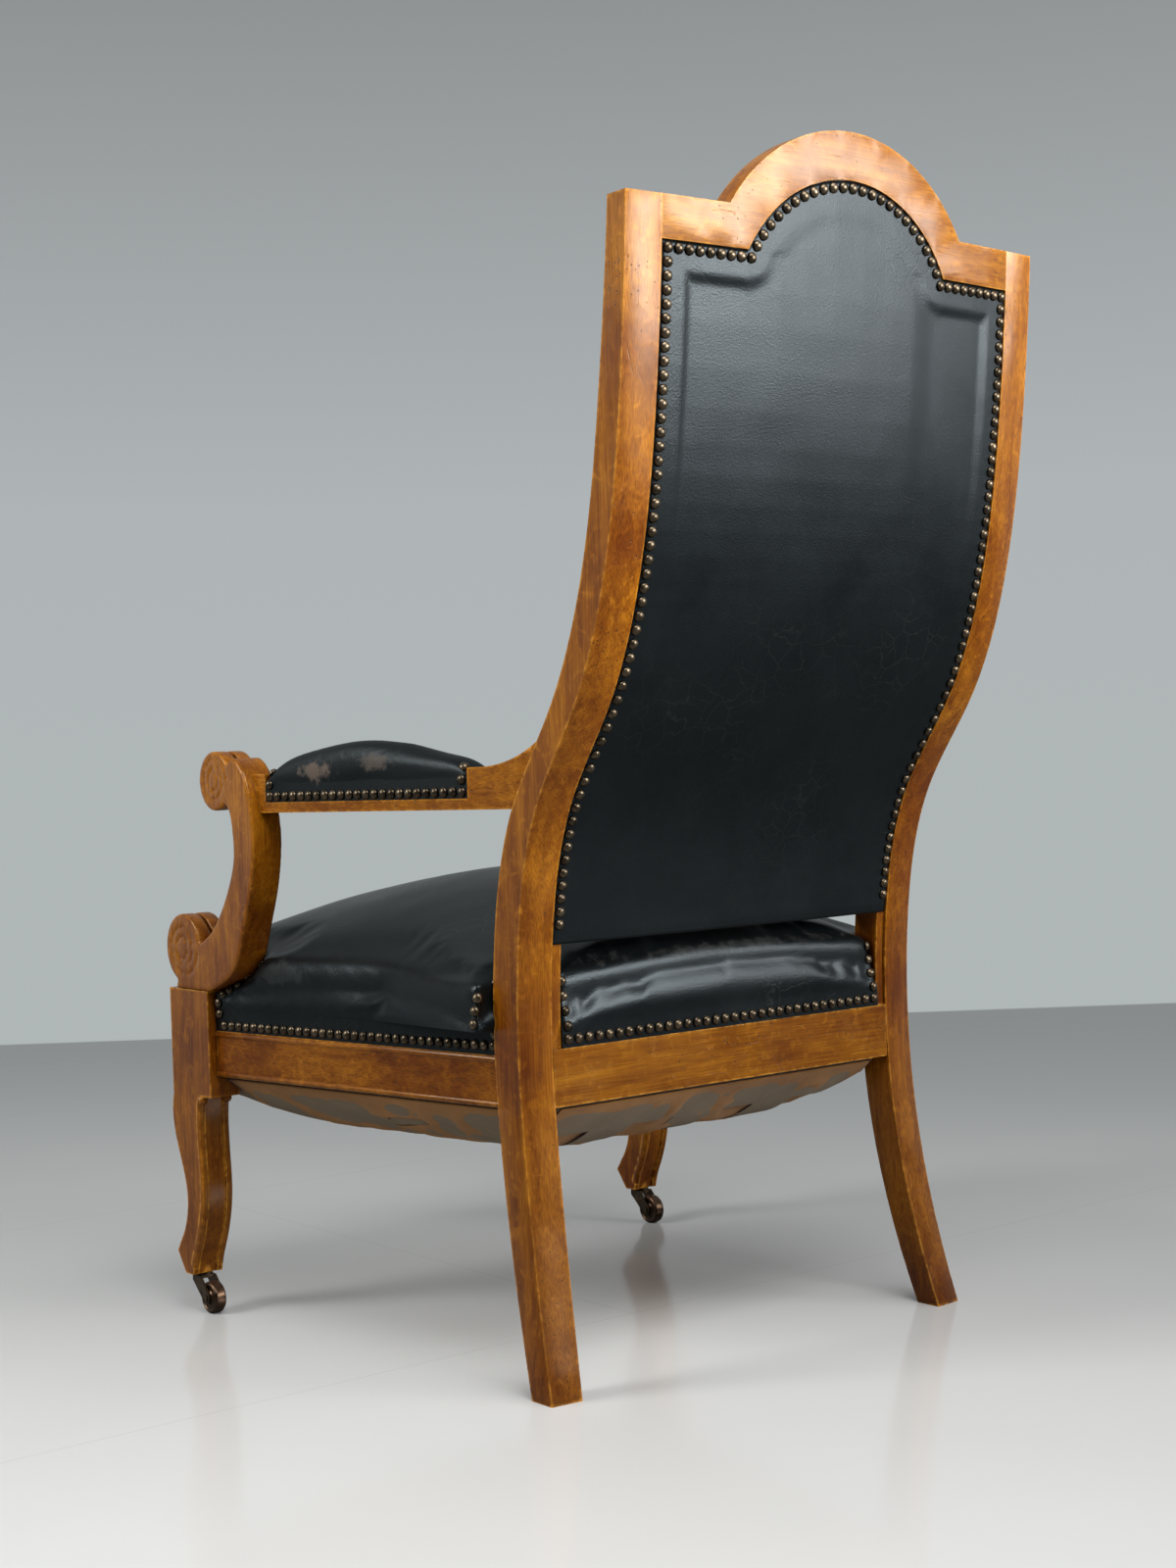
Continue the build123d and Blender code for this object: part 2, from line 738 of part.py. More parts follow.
def seat_dome(inset, bottom):
    """The crowned seat as a solid, drawn in by an inset all round and on top."""
    start, end = side_line()
    front = front_rail_inset - front_rail_bow - leg_reach + inset
    depth = -rear_rail_setback - inset - front
    rise = seat_crown_height - seat_edge_height
    sections = []
    for share, edge_share, crown_share in seat_shape_shares:
        y = front + share * depth
        half = along(start, end, y) - inset
        edge = seat_edge_height + edge_share * rise - inset
        crown = seat_edge_height + crown_share * rise - inset
        middle = (nailing_top + edge) / 2
        face = make_face([
            Line((-half, bottom), (half, bottom)),
            Line((half, bottom), (half, nailing_top)),
            ThreePointArc((half, nailing_top), (half + seat_wall_bulge, middle), (half, edge)),
            ThreePointArc((half, edge), (0, crown), (-half, edge)),
            ThreePointArc((-half, edge), (-half - seat_wall_bulge, middle), (-half, nailing_top)),
            Line((-half, nailing_top), (-half, bottom)),
        ])
        sections.append(Pos(0, y, 0) * (Plane.XZ * face))
    return loft(sections) & plan_prism(seat_plan(inset), bottom, 2 * seat_crown_height)


def upright_spaces():
    """Room that the seat leaves for the legs, the arm supports and the posts."""
    rear = [(y + seat_gap, z - seat_gap) for y, z in (support_point(share) for share in support_rear_shares)]
    front = -leg_reach - overrun
    back = block_rear + seat_gap
    foot = rear[-1][1] - seat_gap
    face = make_face([
        Spline(*rear),
        Line(rear[-1], (rear[-1][0], foot)),
        Line((rear[-1][0], foot), (back, foot)),
        Line((back, foot), (back, 0)),
        Line((back, 0), (front, 0)),
        Line((front, 0), (front, rear[0][1])),
        Line((front, rear[0][1]), rear[0]),
    ])
    support_space = side_prism(face, leg_inner_face - seat_gap, leg_half_span + overrun)
    low_x = post_inner_face - rebate_width - seat_gap
    post_space = back_slab((0, -overrun), (1, seat_gap)) & block_between(
        (low_x, -leg_reach, 0), (leg_half_span, overrun, lower_rail_bottom + overrun))
    return [support_space, mirrored(support_space), post_space, mirrored(post_space)]


def corner_spaces():
    """Room that the sheets under the seat leave for the legs and the posts."""
    leg_space = block_between((leg_inner_face - seat_gap, -leg_reach - overrun, 0),
                              (leg_half_span + overrun, block_rear + seat_gap, block_top))
    low_x = post_inner_face - rebate_width - seat_gap
    post_space = block_between((low_x, -rear_rail_setback - post_depth - rebate_width, 0),
                               (leg_half_span, 0, block_top))
    return [leg_space, mirrored(leg_space), post_space, mirrored(post_space)]


def well_outline():
    """Plan of the space for the springs, inside the rails."""
    margin = spring_well_margin
    return seat_outline(margin, margin, margin, seat_corner_radius)


def spring_places():
    """Where each seat spring stands: x and y of its axis."""
    for row in range(spring_rows):
        for column in range(spring_columns):
            yield ((column - (spring_columns - 1) / 2) * spring_pitch_wide,
                   (row - (spring_rows - 1) / 2) * spring_pitch_deep - spring_middle_reach)


def make_spring(foot, top):
    """One hourglass coil spring: an unbroken square wire wound round its waist."""
    sections = []
    steps = spring_turns * spring_sides
    half = spring_wire / 2
    for step in range(steps + 1):
        share = step / steps
        waist = abs(2 * share - 1)
        radius = spring_waist_radius + (spring_radius - spring_waist_radius) * waist
        height = foot + half + (top - foot - spring_wire) * share
        face = Pos(radius, height) * Rectangle(spring_wire, spring_wire)
        sections.append(Rot(0, 0, share * spring_turns * degrees(2 * pi)) * (Plane.XZ * face))
    return loft(sections, ruled=True)


def sag_bowl(drop):
    """The sagging underside as a solid bowl, lowered by a drop."""
    sections = []
    for depth_share, inset_share in sag_shares:
        inset = sag_edge_inset + inset_share * seat_half_depth
        height = rail_bottom - seat_gap - drop - sag_depth * depth_share
        corner = seat_corner_radius + inset * seat_corner_growth_share
        sections.append(Pos(0, 0, height) * seat_outline(inset, inset, inset, corner))
    return loft(sections)


def sagging_sheet(drop, thickness):
    """A sheet tacked under the rails that sags with the springs."""
    rim_top = rail_bottom - seat_gap - drop
    rim = seat_outline(sag_edge_inset, sag_edge_inset, sag_edge_inset, seat_corner_radius)
    hole = seat_outline(rail_thickness, rail_thickness, rail_thickness, seat_corner_radius)
    sheet = sag_bowl(drop + thickness) + plan_prism(rim, rim_top - thickness, rim_top)
    keep = sag_bowl(drop) + plan_prism(hole, rim_top - thickness, rim_top + thickness)
    return sheet - keep


def make_webbing():
    """Woven straps under the springs, crossing under each spring."""
    sheet = sagging_sheet(0, webbing_thickness)
    gap_wide = spring_pitch_wide - strap_width
    gap_deep = spring_pitch_deep - strap_width
    for row in range(spring_rows + 1):
        for column in range(spring_columns + 1):
            x = (column - spring_columns / 2) * spring_pitch_wide
            y = (row - spring_rows / 2) * spring_pitch_deep - spring_middle_reach
            sheet -= Pos(x, y, rail_bottom) * Box(gap_wide, gap_deep, 2 * sag_depth + overrun)
    return sheet


# Joinery
def make_tenons(side, middle_y, low, high):
    """A pair of tenons that run out from a cross piece into the posts at both ends."""
    half = tenon_thickness / 2
    tenon = block_between((side, middle_y - half, low), (side + tenon_length, middle_y + half, high))
    return tenon + mirrored(tenon)


def make_dowels(front_curve, slack):
    """Dowels that pin the left arm support to its leg block and its arm, and the arm to the post."""
    radius = dowel_radius + slack
    length = dowel_length + 2 * slack
    dowels = []
    middle_reach = (lower_scroll_reach + support_heel_reach) / 2
    for reach in (lower_scroll_reach, middle_reach - dowel_radius):
        dowels.append(Pos(swivel_x, -reach, block_top) * Cylinder(radius, length))
    arm_z = arm_bottom + arm_height / 2
    start, end = arm_line()
    for y, z in ((start[1], arm_z), (line_at(front_curve, arm_z + dowel_radius) - bow_depth, arm_z + dowel_radius)):
        x = along(start, end, y) - arm_thickness / 2
        dowels.append(Pos(x, y, z) * Rot(90, 0, 0) * Cylinder(radius, length))
    return dowels


# Casters
def make_socket():
    """The fixed part of a caster: a plate under the leg with a sleeve up into it."""
    plate = block_between((-socket_plate_radius, -socket_plate_radius, leg_bottom - socket_plate_thickness),
                          (socket_plate_radius, socket_plate_radius, leg_bottom))
    plate = plate & (Pos(0, 0, leg_bottom) * Cylinder(socket_plate_radius, overrun))
    sleeve_radius = pivot_radius + socket_sleeve_wall
    sleeve = Pos(0, 0, leg_bottom) * Cylinder(sleeve_radius, pivot_length + 2 * socket_sleeve_wall,
                                              align=(Align.CENTER, Align.CENTER, Align.MIN))
    hole = Pos(0, 0, leg_bottom - socket_plate_thickness) * Cylinder(
        pivot_radius + fit_gap, pivot_length + socket_plate_thickness + socket_sleeve_wall,
        align=(Align.CENTER, Align.CENTER, Align.MIN))
    return plate + sleeve - hole


def make_sleeve_space():
    """The hole in the leg that takes the socket's sleeve."""
    return Pos(0, 0, leg_bottom) * Cylinder(pivot_radius + socket_sleeve_wall,
                                            pivot_length + 2 * socket_sleeve_wall,
                                            align=(Align.CENTER, Align.CENTER, Align.MIN))


def make_horn():
    """The swivelling horn: a pivot pin, a collar and two cheeks that carry the axle."""
    collar_top = leg_bottom - socket_plate_thickness - seat_gap
    collar_low = collar_top - horn_plate_thickness
    pin = Pos(0, 0, collar_low) * Cylinder(pivot_radius, pivot_length + socket_plate_thickness,
                                           align=(Align.CENTER, Align.CENTER, Align.MIN))
    collar = Pos(0, 0, collar_low) * Cylinder(horn_collar_radius, horn_plate_thickness,
                                              align=(Align.CENTER, Align.CENTER, Align.MIN))
    cheek_inner = wheel_width / 2 + cheek_gap
    cheek_outer = cheek_inner + cheek_thickness
    half_plate = horn_plate_length / 2
    bridge = block_between((-cheek_outer, -half_plate, collar_low), (cheek_outer, half_plate, collar_top))
    boss = cheek_boss_radius
    face = make_face(Polyline(
        (-half_plate, collar_top), (half_plate, collar_top), (caster_trail + boss, wheel_radius + boss / 2),
        (caster_trail, wheel_radius - boss), (caster_trail - boss, wheel_radius - boss / 2),
        (-half_plate, collar_low - horn_plate_thickness), (-half_plate, collar_top)).edges())
    face += Pos(caster_trail, wheel_radius) * Circle(boss)
    horn = pin + collar + bridge
    for low in (-cheek_outer, cheek_inner):
        horn += side_prism(face, low, low + cheek_thickness)
    hole = Pos(0, caster_trail, wheel_radius) * Rot(0, 90, 0) * Cylinder(axle_radius, 4 * cheek_outer)
    return horn - hole


def make_axle():
    """The axle pin, headed over outside both cheeks."""
    cheek_outer = wheel_width / 2 + cheek_gap + cheek_thickness
    pin = Cylinder(axle_radius, 2 * cheek_outer)
    for side in (-1, 1):
        pin += Pos(0, 0, side * (cheek_outer + cheek_gap)) * Cylinder(axle_radius + cheek_gap, 2 * cheek_gap)
    return Pos(0, caster_trail, wheel_radius) * Rot(0, 90, 0) * pin


def make_wheel():
    """The solid wheel, rounded at its tread and dished at its hub."""
    half = wheel_width / 2
    rim = wheel_radius - wheel_edge_radius
    bore_radius = axle_radius + fit_gap
    face = make_face([
        Line((bore_radius, -half), (hub_radius, -half)),
        Line((hub_radius, -half), (hub_radius + hub_recess, -half + hub_recess)),
        Line((hub_radius + hub_recess, -half + hub_recess), (rim - hub_recess, -half + hub_recess)),
        Line((rim - hub_recess, -half + hub_recess), (rim, -half)),
        RadiusArc((rim, -half), (wheel_radius, -half + wheel_edge_radius), -wheel_edge_radius),
        Line((wheel_radius, -half + wheel_edge_radius), (wheel_radius, half - wheel_edge_radius)),
        RadiusArc((wheel_radius, half - wheel_edge_radius), (rim, half), -wheel_edge_radius),
        Line((rim, half), (rim - hub_recess, half - hub_recess)),
        Line((rim - hub_recess, half - hub_recess), (hub_radius + hub_recess, half - hub_recess)),
        Line((hub_radius + hub_recess, half - hub_recess), (hub_radius, half)),
        Line((hub_radius, half), (bore_radius, half)),
        Line((bore_radius, half), (bore_radius, -half)),
    ])
    wheel = revolve(Plane.XZ * face, axis=Axis.Z)
    return Pos(0, caster_trail, wheel_radius) * Rot(0, 90, 0) * wheel


# Assembly
def build_frame(nodes, front_curve, rear_curve):
    """The wooden frame, each piece cut to what it meets."""
    frame_slab = back_slab((0, 0), (1, 0))
    lip_slab = back_slab((0, rebate_depth), (1, -rebate_depth))
    post = make_post(frame_slab, lip_slab)
    crest = make_crest(frame_slab, lip_slab)
    rear_rail = make_rear_rail()
    front_rail = make_front_rail()
    side_rail = make_side_rail()
    leg = make_leg()
    support = make_support()
    arm = make_arm()

    post_room = (back_slab((0, -overrun), (1, fit_gap)) & block_between(
        (post_inner_face - overrun, -leg_reach, 0), (leg_half_span + overrun, overrun, arch_top_height)))
    side_rail = largest(side_rail - leg - post_room)
    start, end = side_line()
    low = rail_bottom + tenon_shoulder
    high = side_rail_top - tenon_shoulder
    leg_tenon = leg_inner_face + tenon_shoulder
    side_rail += block_between((leg_tenon, block_rear - tenon_length, low),
                               (leg_tenon + tenon_thickness, block_rear + tenon_shoulder, high))
    post_tenon = along(start, end, end[1]) - rail_thickness + tenon_shoulder
    side_rail += block_between((post_tenon, end[1] - tenon_shoulder, low),
                               (post_tenon + tenon_thickness, end[1] + tenon_length, high))

    crest_tenon_z = (panel_top + shoulder_height) / 2
    crest_tenon_y = (line_at(front_curve, crest_tenon_z) + line_at(rear_curve, crest_tenon_z)) / 2 \
        - post_inner_face ** 2 / (2 * bow_radius)
    half = crest_height / 2 - tenon_shoulder
    crest += make_tenons(post_inner_face, crest_tenon_y, crest_tenon_z - half, crest_tenon_z + half)

    lip_side = post_inner_face - rebate_width
    lower_top = lower_rail_bottom + lower_rail_height
    lower_slab = back_slab((0, rebate_depth), (0, rebate_depth + lower_rail_thickness))
    lower_rail = lower_slab & front_prism(quad((-lip_side, lower_rail_bottom), (lip_side, lower_rail_bottom),
                                               (lip_side, lower_top), (-lip_side, lower_top)))
    lower_middle_z = (lower_rail_bottom + lower_top) / 2
    lower_middle_y = line_at(rear_curve, lower_middle_z) - lip_side ** 2 / (2 * bow_radius) \
        - rebate_depth - lower_rail_thickness / 2
    lower_rail += make_tenons(lip_side, lower_middle_y, lower_rail_bottom + tenon_shoulder,
                              lower_top - tenon_shoulder)

    holes = make_dowels(front_curve, fit_gap)
    leg = leg - side_rail - front_rail - Pos(swivel_x, swivel_y, 0) * make_sleeve_space()
    support = support - leg
    arm = largest(arm - support - post_room)
    post = post - rear_rail - side_rail - crest - lower_rail
    for hole in holes:
        leg -= hole
        support -= hole
        arm -= hole
        post -= hole
    post = largest(post)
    dowels = make_dowels(front_curve, 0)
    nodes["crest_rail"] = crest
    nodes["lower_back_rail"] = lower_rail
    nodes["rear_seat_rail"] = rear_rail
    nodes["front_seat_rail"] = front_rail
    nodes["corner_blocks"] = make_corner_blocks()
    nodes["dowels"] = dowels + [mirrored(dowel) for dowel in dowels]
    for name, piece in (("rear_post", post), ("front_leg", leg), ("arm_support", support),
                        ("arm_rail", arm), ("side_seat_rail", side_rail)):
        nodes["left_" + name] = piece
        nodes["right_" + name] = mirrored(piece)


def build_back_upholstery(nodes, front_curve):
    """Leather, webbing, tufted pad and buttons of the back."""
    outer = back_slab((0, rebate_depth - leather_thickness), (0, rebate_depth - fit_gap))
    nodes["outer_back_leather"] = outer & front_prism(panel_outline(seat_gap, outer_back_bottom))
    webbing = back_slab((1, fit_gap - rebate_depth), (1, webbing_thickness - rebate_depth))
    nodes["back_webbing"] = webbing & front_prism(panel_outline(seat_gap, inside_back_bottom))
    nodes["inside_back_pad"] = make_inside_back(front_curve)
    nodes["back_buttons"] = make_buttons(front_curve)


def build_seat(nodes):
    """The seat from its leather cover down to the cloth under the springs."""
    spaces = upright_spaces()
    rails = [nodes["rear_seat_rail"], nodes["front_seat_rail"],
             nodes["left_side_seat_rail"], nodes["right_side_seat_rail"]]
    cover = seat_dome(0, side_rail_top) - seat_dome(leather_thickness, side_rail_top - bead_radius)
    nodes["seat_cover"] = largest(cover - rails - spaces)

    well = well_outline()
    stuffing = seat_dome(leather_thickness + seat_gap, side_rail_top)
    below = block_between((-leg_half_span, -leg_reach, 0), (leg_half_span, 0, nailing_top + seat_gap))
    stuffing = stuffing - below - plan_prism(well, 0, spring_deck_height) - spaces
    nodes["seat_stuffing"] = largest(stuffing)

    deck = spring_deck_height - seat_gap
    nodes["spring_canvas"] = plan_prism(offset(well, -seat_gap), deck - canvas_thickness, deck)
    foot = rail_bottom - sag_depth
    top = deck - canvas_thickness - seat_gap
    spring = make_spring(foot, top)
    nodes["seat_springs"] = [Pos(x, y, 0) * spring for x, y in spring_places()]
    nodes["seat_webbing"] = largest(make_webbing() - corner_spaces())
    cloth = sagging_sheet(webbing_thickness + seat_gap, cloth_thickness)
    nodes["bottom_cloth"] = largest(cloth - corner_spaces())


def build_casters(nodes):
    """A swivelling caster under each front leg."""
    for side, x in (("left_", swivel_x), ("right_", -swivel_x)):
        place = Pos(x, swivel_y, 0)
        nodes[side + "caster_socket"] = place * make_socket()
        nodes[side + "caster_horn"] = place * make_horn()
        nodes[side + "caster_axle"] = place * make_axle()
        nodes[side + "caster_wheel"] = place * make_wheel()


def build():
    """Every piece of the chair by its node name."""
    nodes = {}
    front_curve = Spline(*back_line(1, 0))
    rear_curve = Spline(*back_line(0, 0))
    build_frame(nodes, front_curve, rear_curve)
    build_back_upholstery(nodes, front_curve)
    build_seat(nodes)
    pad = make_pad()
    nodes["left_arm_pad"] = pad
    nodes["right_arm_pad"] = mirrored(pad)
    build_casters(nodes)
    return nodes


def write(nodes):
    """Move the origin under the middle of the chair and write one file for each node."""
    os.makedirs("parts", exist_ok=True)
    front = nodes["left_arm_support"].bounding_box().min.Y
    rear = nodes["crest_rail"].bounding_box().max.Y
    place = Pos(0, -(front + rear) / 2, 0)
    print("heel of the rear feet at y =", round(-(front + rear) / 2, 3))
    for name, piece in nodes.items():
        pieces = piece if isinstance(piece, list) else [piece]
        solids = [place * solid for item in pieces for solid in item.solids()]
        shape = solids[0] if len(solids) == 1 else Compound(solids)
        export_step(shape, "parts/" + name + ".step")


write(build())
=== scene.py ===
import bmesh
import bpy
import numpy as np
from math import cos, pi, radians, sin, sqrt
from mathutils import Matrix, Vector, noise
from mathutils.bvhtree import BVHTree


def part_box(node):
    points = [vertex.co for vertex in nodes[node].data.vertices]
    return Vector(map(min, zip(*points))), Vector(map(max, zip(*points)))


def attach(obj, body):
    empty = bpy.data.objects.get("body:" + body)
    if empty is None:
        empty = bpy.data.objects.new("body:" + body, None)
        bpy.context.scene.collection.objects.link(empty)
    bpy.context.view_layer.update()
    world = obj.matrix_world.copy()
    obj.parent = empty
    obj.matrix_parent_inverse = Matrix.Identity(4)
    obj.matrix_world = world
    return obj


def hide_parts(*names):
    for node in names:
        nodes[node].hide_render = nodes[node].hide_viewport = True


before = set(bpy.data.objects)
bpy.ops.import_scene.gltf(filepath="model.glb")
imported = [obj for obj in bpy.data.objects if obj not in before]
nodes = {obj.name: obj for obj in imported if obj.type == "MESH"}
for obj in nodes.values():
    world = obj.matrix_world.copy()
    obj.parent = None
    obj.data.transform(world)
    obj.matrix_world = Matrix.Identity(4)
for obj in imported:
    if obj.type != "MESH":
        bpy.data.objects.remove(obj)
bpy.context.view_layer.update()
mm = 0.001

# Studio
# A wide pale polished floor that ends at the foot of a grey wall, three soft boxes and a dim grey
# room. The camera stands behind the chair on the sitter's left, a little above seat height, turned
# a touch on its side.
camera_place = Vector((1.5290, 1.8723, 0.6029))
camera_forward = Vector((-0.62362, -0.78164, -0.01210)).normalized()
camera_roll = radians(-2.041)
camera_lens = 51.46
floor_radius = 14.0
# The floor's colour is a painted pool of light: near-white by the chair, falling off to grey towards the wall.
painted_light_pool = (-0.9, 2.5)
floor_fade = (4.0, 8.0)
wall_foot = 2.62
wall_foot_blur = 0.02
floor_painted_lit_colour = (0.99, 0.99, 0.975, 1.0)
floor_painted_shade_colour = (0.285, 0.285, 0.275, 1.0)
wall_colour = (0.435, 0.470, 0.472, 1.0)
wall_middle_colour = (0.430, 0.462, 0.475, 1.0)
wall_top_colour = (0.27, 0.285, 0.29, 1.0)
wall_side = (-0.62, -0.78, 0.0)
room_share = 0.03
air_strength = 0.50
floor_seen = (0.42, 0.24)


def link(kind, tree, **inputs):
    """A shader node with its inputs set: a number, a colour, or another node's output."""
    node = tree.nodes.new(kind)
    for key, value in inputs.items():
        if key.startswith("set_"):
            setattr(node, key[4:], value)
            continue
        numbered = key[0] == "i" and key[1:].isdigit()
        socket = node.inputs[int(key[1:])] if numbered else node.inputs[key.replace("_", " ")]
        if isinstance(value, bpy.types.NodeSocket):
            tree.links.new(value, socket)
        else:
            socket.default_value = value
    return node


def ramp(tree, value, stops):
    """A colour ramp over a value: stops are (position, grey or colour)."""
    node = tree.nodes.new("ShaderNodeValToRGB")
    tree.links.new(value, node.inputs[0])
    while len(node.color_ramp.elements) < len(stops):
        node.color_ramp.elements.new(0.5)
    for element, (position, colour) in zip(node.color_ramp.elements, stops):
        element.position = position
        element.color = (colour, colour, colour, 1) if isinstance(colour, float) else colour
    return node.outputs[0]


def mixed(tree, kind, share, a, b):
    """Two colours mixed by a share."""
    node = tree.nodes.new("ShaderNodeMix")
    node.data_type = "RGBA"
    node.blend_type = kind
    for socket, value in ((node.inputs[0], share), (node.inputs[6], a), (node.inputs[7], b)):
        if isinstance(value, bpy.types.NodeSocket):
            tree.links.new(value, socket)
        else:
            socket.default_value = value
    return node.outputs[2]


def math(tree, operation, a, b=0.5, clamp=False):
    """One sum on two values."""
    node = tree.nodes.new("ShaderNodeMath")
    node.operation = operation
    node.use_clamp = clamp
    for socket, value in ((node.inputs[0], a), (node.inputs[1], b)):
        if isinstance(value, bpy.types.NodeSocket):
            tree.links.new(value, socket)
        else:
            socket.default_value = value
    return node.outputs[0]


def cloudy(tree, place, scale, detail, **more):
    """A noise pattern over a place."""
    return link("ShaderNodeTexNoise", tree, Vector=place, Scale=scale, Detail=detail, **more).outputs[0]


def new_material(name):
    """A material with only its shader, and the shader."""
    material = bpy.data.materials.new(name)
    material.use_nodes = True
    return material, material.node_tree, material.node_tree.nodes["Principled BSDF"]


bpy.ops.object.select_all(action="DESELECT")
bpy.ops.mesh.primitive_circle_add(vertices=96, radius=floor_radius, fill_type="NGON", location=(0, 0, 0))
floor = bpy.context.object
floor.name = "studio_floor"
floor_material, tree, shader = new_material("pale_polished_floor")
place = link("ShaderNodeTexCoord", tree).outputs["Object"]
reach = link("ShaderNodeVectorMath", tree, set_operation="LENGTH", i0=place).outputs["Value"]
fade = link("ShaderNodeMapRange", tree, Value=reach, From_Min=floor_fade[0], From_Max=floor_fade[1],
            set_interpolation_type="SMOOTHSTEP").outputs[0]
behind = link("ShaderNodeVectorMath", tree, set_operation="DOT_PRODUCT", i0=place, i1=wall_side).outputs["Value"]
fade = math(tree, "MAXIMUM", fade, link("ShaderNodeMapRange", tree, Value=behind, From_Min=wall_foot,
                                        From_Max=wall_foot + wall_foot_blur).outputs[0])
# Painted pool of light: the floor colour darkens along the way towards the wall.
painted_pool_share = link("ShaderNodeMapRange", tree, Value=behind, From_Min=painted_light_pool[0], From_Max=painted_light_pool[1]).outputs[0]
cloud = cloudy(tree, place, 1.3, 4.0)
tone = mixed(tree, "MIX", painted_pool_share, floor_painted_lit_colour, floor_painted_shade_colour)
tone = mixed(tree, "MULTIPLY", ramp(tree, cloud, ((0.3, 0.0), (0.7, 0.6))), tone, (0.90, 0.905, 0.91, 1))
joint = link("ShaderNodeTexBrick", tree, Vector=place, Scale=1.0, Color1=(1, 1, 1, 1), Color2=(1, 1, 1, 1),
             Mortar=(0, 0, 0, 1), Mortar_Size=0.0012, Brick_Width=1.9, Row_Height=0.95).outputs[0]
tone = mixed(tree, "MULTIPLY", ramp(tree, joint, ((0.2, 0.22), (0.8, 0.0))), tone, (0.55, 0.55, 0.55, 1))
shader.inputs["Roughness"].default_value = 0.13
shader.inputs["Specular IOR Level"].default_value = 0.5
ray = link("ShaderNodeLightPath", tree)
dimmed = math(tree, "ADD", math(tree, "MULTIPLY", ray.outputs["Is Diffuse Ray"], 1 - floor_seen[0]),
              math(tree, "MULTIPLY", ray.outputs["Is Glossy Ray"], 1 - floor_seen[1]), True)
tone = mixed(tree, "MIX", dimmed, tone, (0, 0, 0, 1))
tree.links.new(tone, shader.inputs["Base Color"])
glow = link("ShaderNodeEmission", tree, Color=wall_colour, Strength=1.0)
blend_out = link("ShaderNodeMixShader", tree, i0=fade, i1=shader.outputs[0], i2=glow.outputs[0])
tree.links.new(blend_out.outputs[0], tree.nodes["Material Output"].inputs[0])
floor.data.materials.append(floor_material)

world = bpy.data.worlds.new("studio_air")
bpy.context.scene.world = world
world.use_nodes = True
tree = world.node_tree
background = tree.nodes["Background"]
direction = link("ShaderNodeTexCoord", tree).outputs["Generated"]
height = link("ShaderNodeSeparateXYZ", tree, Vector=direction).outputs["Z"]
wall = ramp(tree, height, ((0.0, wall_colour), (0.11, wall_middle_colour), (0.33, wall_top_colour)))
tree.links.new(wall, background.inputs["Color"])
ray = link("ShaderNodeLightPath", tree)
facing = link("ShaderNodeVectorMath", tree, set_operation="DOT_PRODUCT", i0=direction, i1=wall_side).outputs["Value"]
turned = math(tree, "ADD", math(tree, "MULTIPLY", facing, 0.5), 0.5)
lit = ramp(tree, turned, ((0.45, room_share), (0.72, 0.95)))
seen = math(tree, "MAXIMUM", ray.outputs["Is Camera Ray"], ray.outputs["Is Transmission Ray"])
glossy = math(tree, "MULTIPLY", ray.outputs["Is Glossy Ray"], lit)
air = math(tree, "MULTIPLY", ray.outputs["Is Diffuse Ray"], air_strength)
strength = math(tree, "MAXIMUM", seen, math(tree, "MAXIMUM", glossy, air))
tree.links.new(strength, background.inputs["Strength"])


def softbox(name, place, aim, size, power, colour, spread=180):
    """A soft light aimed at a point, with a grid that narrows its spread."""
    lamp = bpy.data.lights.new(name, "AREA")
    lamp.shape = "RECTANGLE"
    lamp.size, lamp.size_y = size
    lamp.energy = power
    lamp.color = colour
    lamp.spread = radians(spread)
    holder = bpy.data.objects.new(name, lamp)
    bpy.context.scene.collection.objects.link(holder)
    holder.location = place
    holder.rotation_mode = "QUATERNION"
    holder.rotation_quaternion = (Vector(aim) - Vector(place)).to_track_quat("-Z", "Y")


softbox("side_box", (3.0, -1.2, 2.3), (0, 0, 0.7), (1.2, 1.6), 62, (1.0, 0.99, 0.97))
softbox("rear_box", (-1.6, 3.1, 1.84), (0, 0.4, 1.5), (2.6, 1.6), 23, (1.0, 0.99, 0.98), 50)
softbox("top_box", (0.45, 1.45, 2.75), (0, 0, 0.9), (1.8, 1.4), 54, (1.0, 1.0, 1.0))

lens = bpy.data.cameras.new("camera")
lens.lens = camera_lens
lens.sensor_width = 36.0
lens.clip_end = 100
camera = bpy.data.objects.new("camera", lens)
bpy.context.scene.collection.objects.link(camera)
level_right = camera_forward.cross(Vector((0, 0, 1))).normalized()
level_up = level_right.cross(camera_forward)
right = cos(camera_roll) * level_right + sin(camera_roll) * level_up
up = cos(camera_roll) * level_up - sin(camera_roll) * level_right
turn = Matrix((right, up, -camera_forward)).transposed()
camera.matrix_world = Matrix.Translation(camera_place) @ turn.to_4x4()
bpy.context.scene.camera = camera
bpy.context.scene.view_settings.view_transform = "Standard"

# Rear posts
# One board of cherry each from the floor to the shoulder, sawn to a long S and polished. The
# polish has gone honey-brown, and worm has left fine holes.
post_edge = 2.2 * mm
arris_weld = 0.00002
arris_angle = radians(38)


